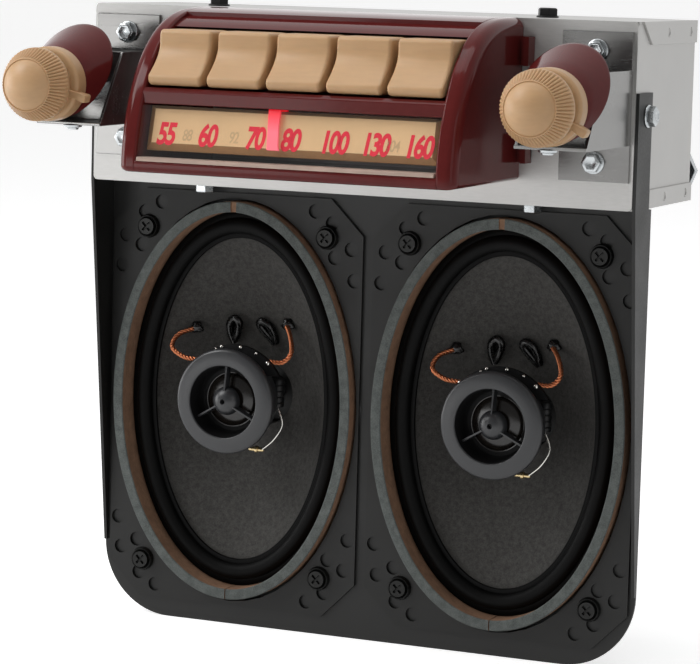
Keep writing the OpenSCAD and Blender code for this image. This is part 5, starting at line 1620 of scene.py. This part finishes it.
# Name, place and size in metres, and power in watts
LAMPS = (
    ("key", (-1.0, -0.62, 0.95), (0.7, 0.7), 11),
    ("card", (-0.72, -1.06, -0.14), (0.5, 0.36), 1.7),
    ("side", (-1.25, -0.2, -0.02), (0.6, 0.7), 6.5),
    ("fill", (1.1, -0.85, 0.35), (0.5, 0.9), 1.2),
    ("top", (0.0, -0.1, 1.2), (1.1, 0.6), 5.5),
)
# Azimuth, elevation and roll of the photograph's view in degrees, and its place in metres
CAMERA_ANGLES = (23.55, 7.04, 1.54)
CAMERA_PLACE = (0.43865, -0.9693, 0.04925)
LENS_MM = 159.23
SENSOR_MM = 36


def seen_by(tree, *rays):
    """Output that is 1 for the named rays and 0 for all others."""
    path = add_node(tree, "ShaderNodeLightPath")
    seen = path.outputs[rays[0]]
    for ray in rays[1:]:
        seen = add_node(
            tree, "ShaderNodeMath", {0: seen, 1: path.outputs[ray]}, operation="MAXIMUM").outputs[0]
    return seen


class RADIO_OT_stage(Operator):
    """Pale floor, soft studio light and the camera"""
    bl_idname = "radio.stage"
    bl_label = "Stage"

    def execute(self, context):
        self.floor()
        self.world(context.scene)
        self.lamps()
        self.camera(context.scene)
        context.scene.view_settings.view_transform = "Standard"
        return {"FINISHED"}

    def floor(self):
        """Wide plain floor under the bracket's foot."""
        low = CAD_BOX[0].z
        corners = [(x * FLOOR_HALF, y * FLOOR_HALF, low) for x, y in ((-1, -1), (1, -1), (1, 1), (-1, 1))]
        mesh = bpy.data.meshes.new("floor")
        mesh.from_pydata(corners, [], [(0, 1, 2, 3)])
        floor = bpy.data.objects.new("floor", mesh)
        bpy.context.scene.collection.objects.link(floor)
        material = bpy.data.materials.new("studio_floor")
        material.use_nodes = True
        tree = material.node_tree
        shader = tree.nodes["Principled BSDF"]
        shader.inputs["Base Color"].default_value = opaque([FLOOR_GREY] * 3)
        shader.inputs["Roughness"].default_value = FLOOR_ROUGHNESS
        seen = seen_by(tree, "Is Camera Ray", "Is Glossy Ray", "Is Transmission Ray")
        glow = add_node(tree, "ShaderNodeMath", {0: seen, 1: FLOOR_GLOW}, operation="MULTIPLY")
        light = add_node(tree, "ShaderNodeEmission", {"Strength": glow.outputs[0]})
        both = add_node(tree, "ShaderNodeAddShader", {0: shader.outputs[0], 1: light.outputs[0]})
        tree.links.new(both.outputs[0], tree.nodes["Material Output"].inputs["Surface"])
        mesh.materials.append(material)

    def world(self, scene):
        """Soft fill; camera and glass see a white backdrop, and mirrors a room that is dimmer in front."""
        world = bpy.data.worlds.new("studio")
        scene.world = world
        world.use_nodes = True
        tree = world.node_tree
        backdrop = tree.nodes["Background"]
        seen = seen_by(tree, "Is Camera Ray", "Is Transmission Ray")
        way = add_node(tree, "ShaderNodeTexCoord").outputs["Generated"]
        parts = add_node(tree, "ShaderNodeSeparateXYZ", {"Vector": way})
        room = add_node(
            tree, "ShaderNodeMapRange",
            {"Value": parts.outputs["Y"], "From Min": ROOM_SPAN[0], "From Max": ROOM_SPAN[1],
             "To Min": ROOM_FRONT, "To Max": ROOM_BACK})
        fill = add_node(
            tree, "ShaderNodeMapRange",
            {"Value": seen_by(tree, "Is Glossy Ray"), "To Min": ROOM_FILL, "To Max": room.outputs[0]})
        strength = add_node(tree, "ShaderNodeMath", {0: fill.outputs[0], 1: seen}, operation="MAXIMUM")
        tree.links.new(strength.outputs[0], backdrop.inputs["Strength"])
        backdrop.inputs["Color"].default_value = [1, 1, 1, 1]

    def lamps(self):
        """Soft boxes: key at the upper left, a low card and a side light left, fill right, strip above."""
        for name, spot, size, power in LAMPS:
            lamp = bpy.data.lights.new(name, "AREA")
            lamp.shape = "RECTANGLE"
            lamp.size, lamp.size_y = size
            lamp.energy = power
            holder = bpy.data.objects.new(name, lamp)
            holder.location = spot
            holder.rotation_euler = (LAMP_AIM - Vector(spot)).to_track_quat("-Z", "Y").to_euler()
            bpy.context.scene.collection.objects.link(holder)

    def camera(self, scene):
        """Camera at the photograph's viewing angle."""
        azimuth, elevation, roll = (math.radians(a) for a in CAMERA_ANGLES)
        back = Vector((
            math.sin(azimuth) * math.cos(elevation),
            -math.cos(azimuth) * math.cos(elevation),
            math.sin(elevation),
        ))
        right = Vector((math.cos(azimuth), math.sin(azimuth), 0))
        up = back.cross(right)
        side = right * math.cos(roll) + up * math.sin(roll)
        rise = up * math.cos(roll) - right * math.sin(roll)
        lens = bpy.data.cameras.new("camera")
        lens.lens = LENS_MM
        lens.sensor_width = SENSOR_MM
        lens.sensor_fit = "HORIZONTAL"
        camera = bpy.data.objects.new("camera", lens)
        turn = Matrix((side, rise, back)).transposed().to_4x4()
        camera.matrix_world = Matrix.Translation(CAMERA_PLACE) @ turn
        bpy.context.scene.collection.objects.link(camera)
        scene.camera = camera


# Panel and registration

OPERATORS = (
    RADIO_OT_chassis, RADIO_OT_bezel, RADIO_OT_buttons, RADIO_OT_dial, RADIO_OT_arms, RADIO_OT_controls,
    RADIO_OT_fasteners, RADIO_OT_bracket, RADIO_OT_speakers, RADIO_OT_stage,
)


class RADIO_PT_build(Panel):
    """Lists the radio's pieces in the order in which they are made"""
    bl_idname = "RADIO_PT_build"
    bl_label = "Car radio"
    bl_space_type = "VIEW_3D"
    bl_region_type = "UI"
    bl_category = "Car radio"

    def draw(self, context):
        for operator in OPERATORS:
            self.layout.operator(operator.bl_idname)


GROUPS = {
    "radio_colours": RadioColours, "radio_front": FrontSizes, "radio_controls": ControlSizes,
    "radio_speakers": SpeakerSizes,
}
CLASSES = (*GROUPS.values(), *OPERATORS, RADIO_PT_build)


def register():
    for entry in CLASSES:
        bpy.utils.register_class(entry)
    for name, group in GROUPS.items():
        setattr(bpy.types.Scene, name, PointerProperty(type=group))


def unregister():
    for name in GROUPS:
        delattr(bpy.types.Scene, name)
    for entry in reversed(CLASSES):
        bpy.utils.unregister_class(entry)


def main():
    register()
    for operator in OPERATORS:
        group, name = operator.bl_idname.split(".")
        getattr(getattr(bpy.ops, group), name)()


if __name__ == "__main__":
    main()
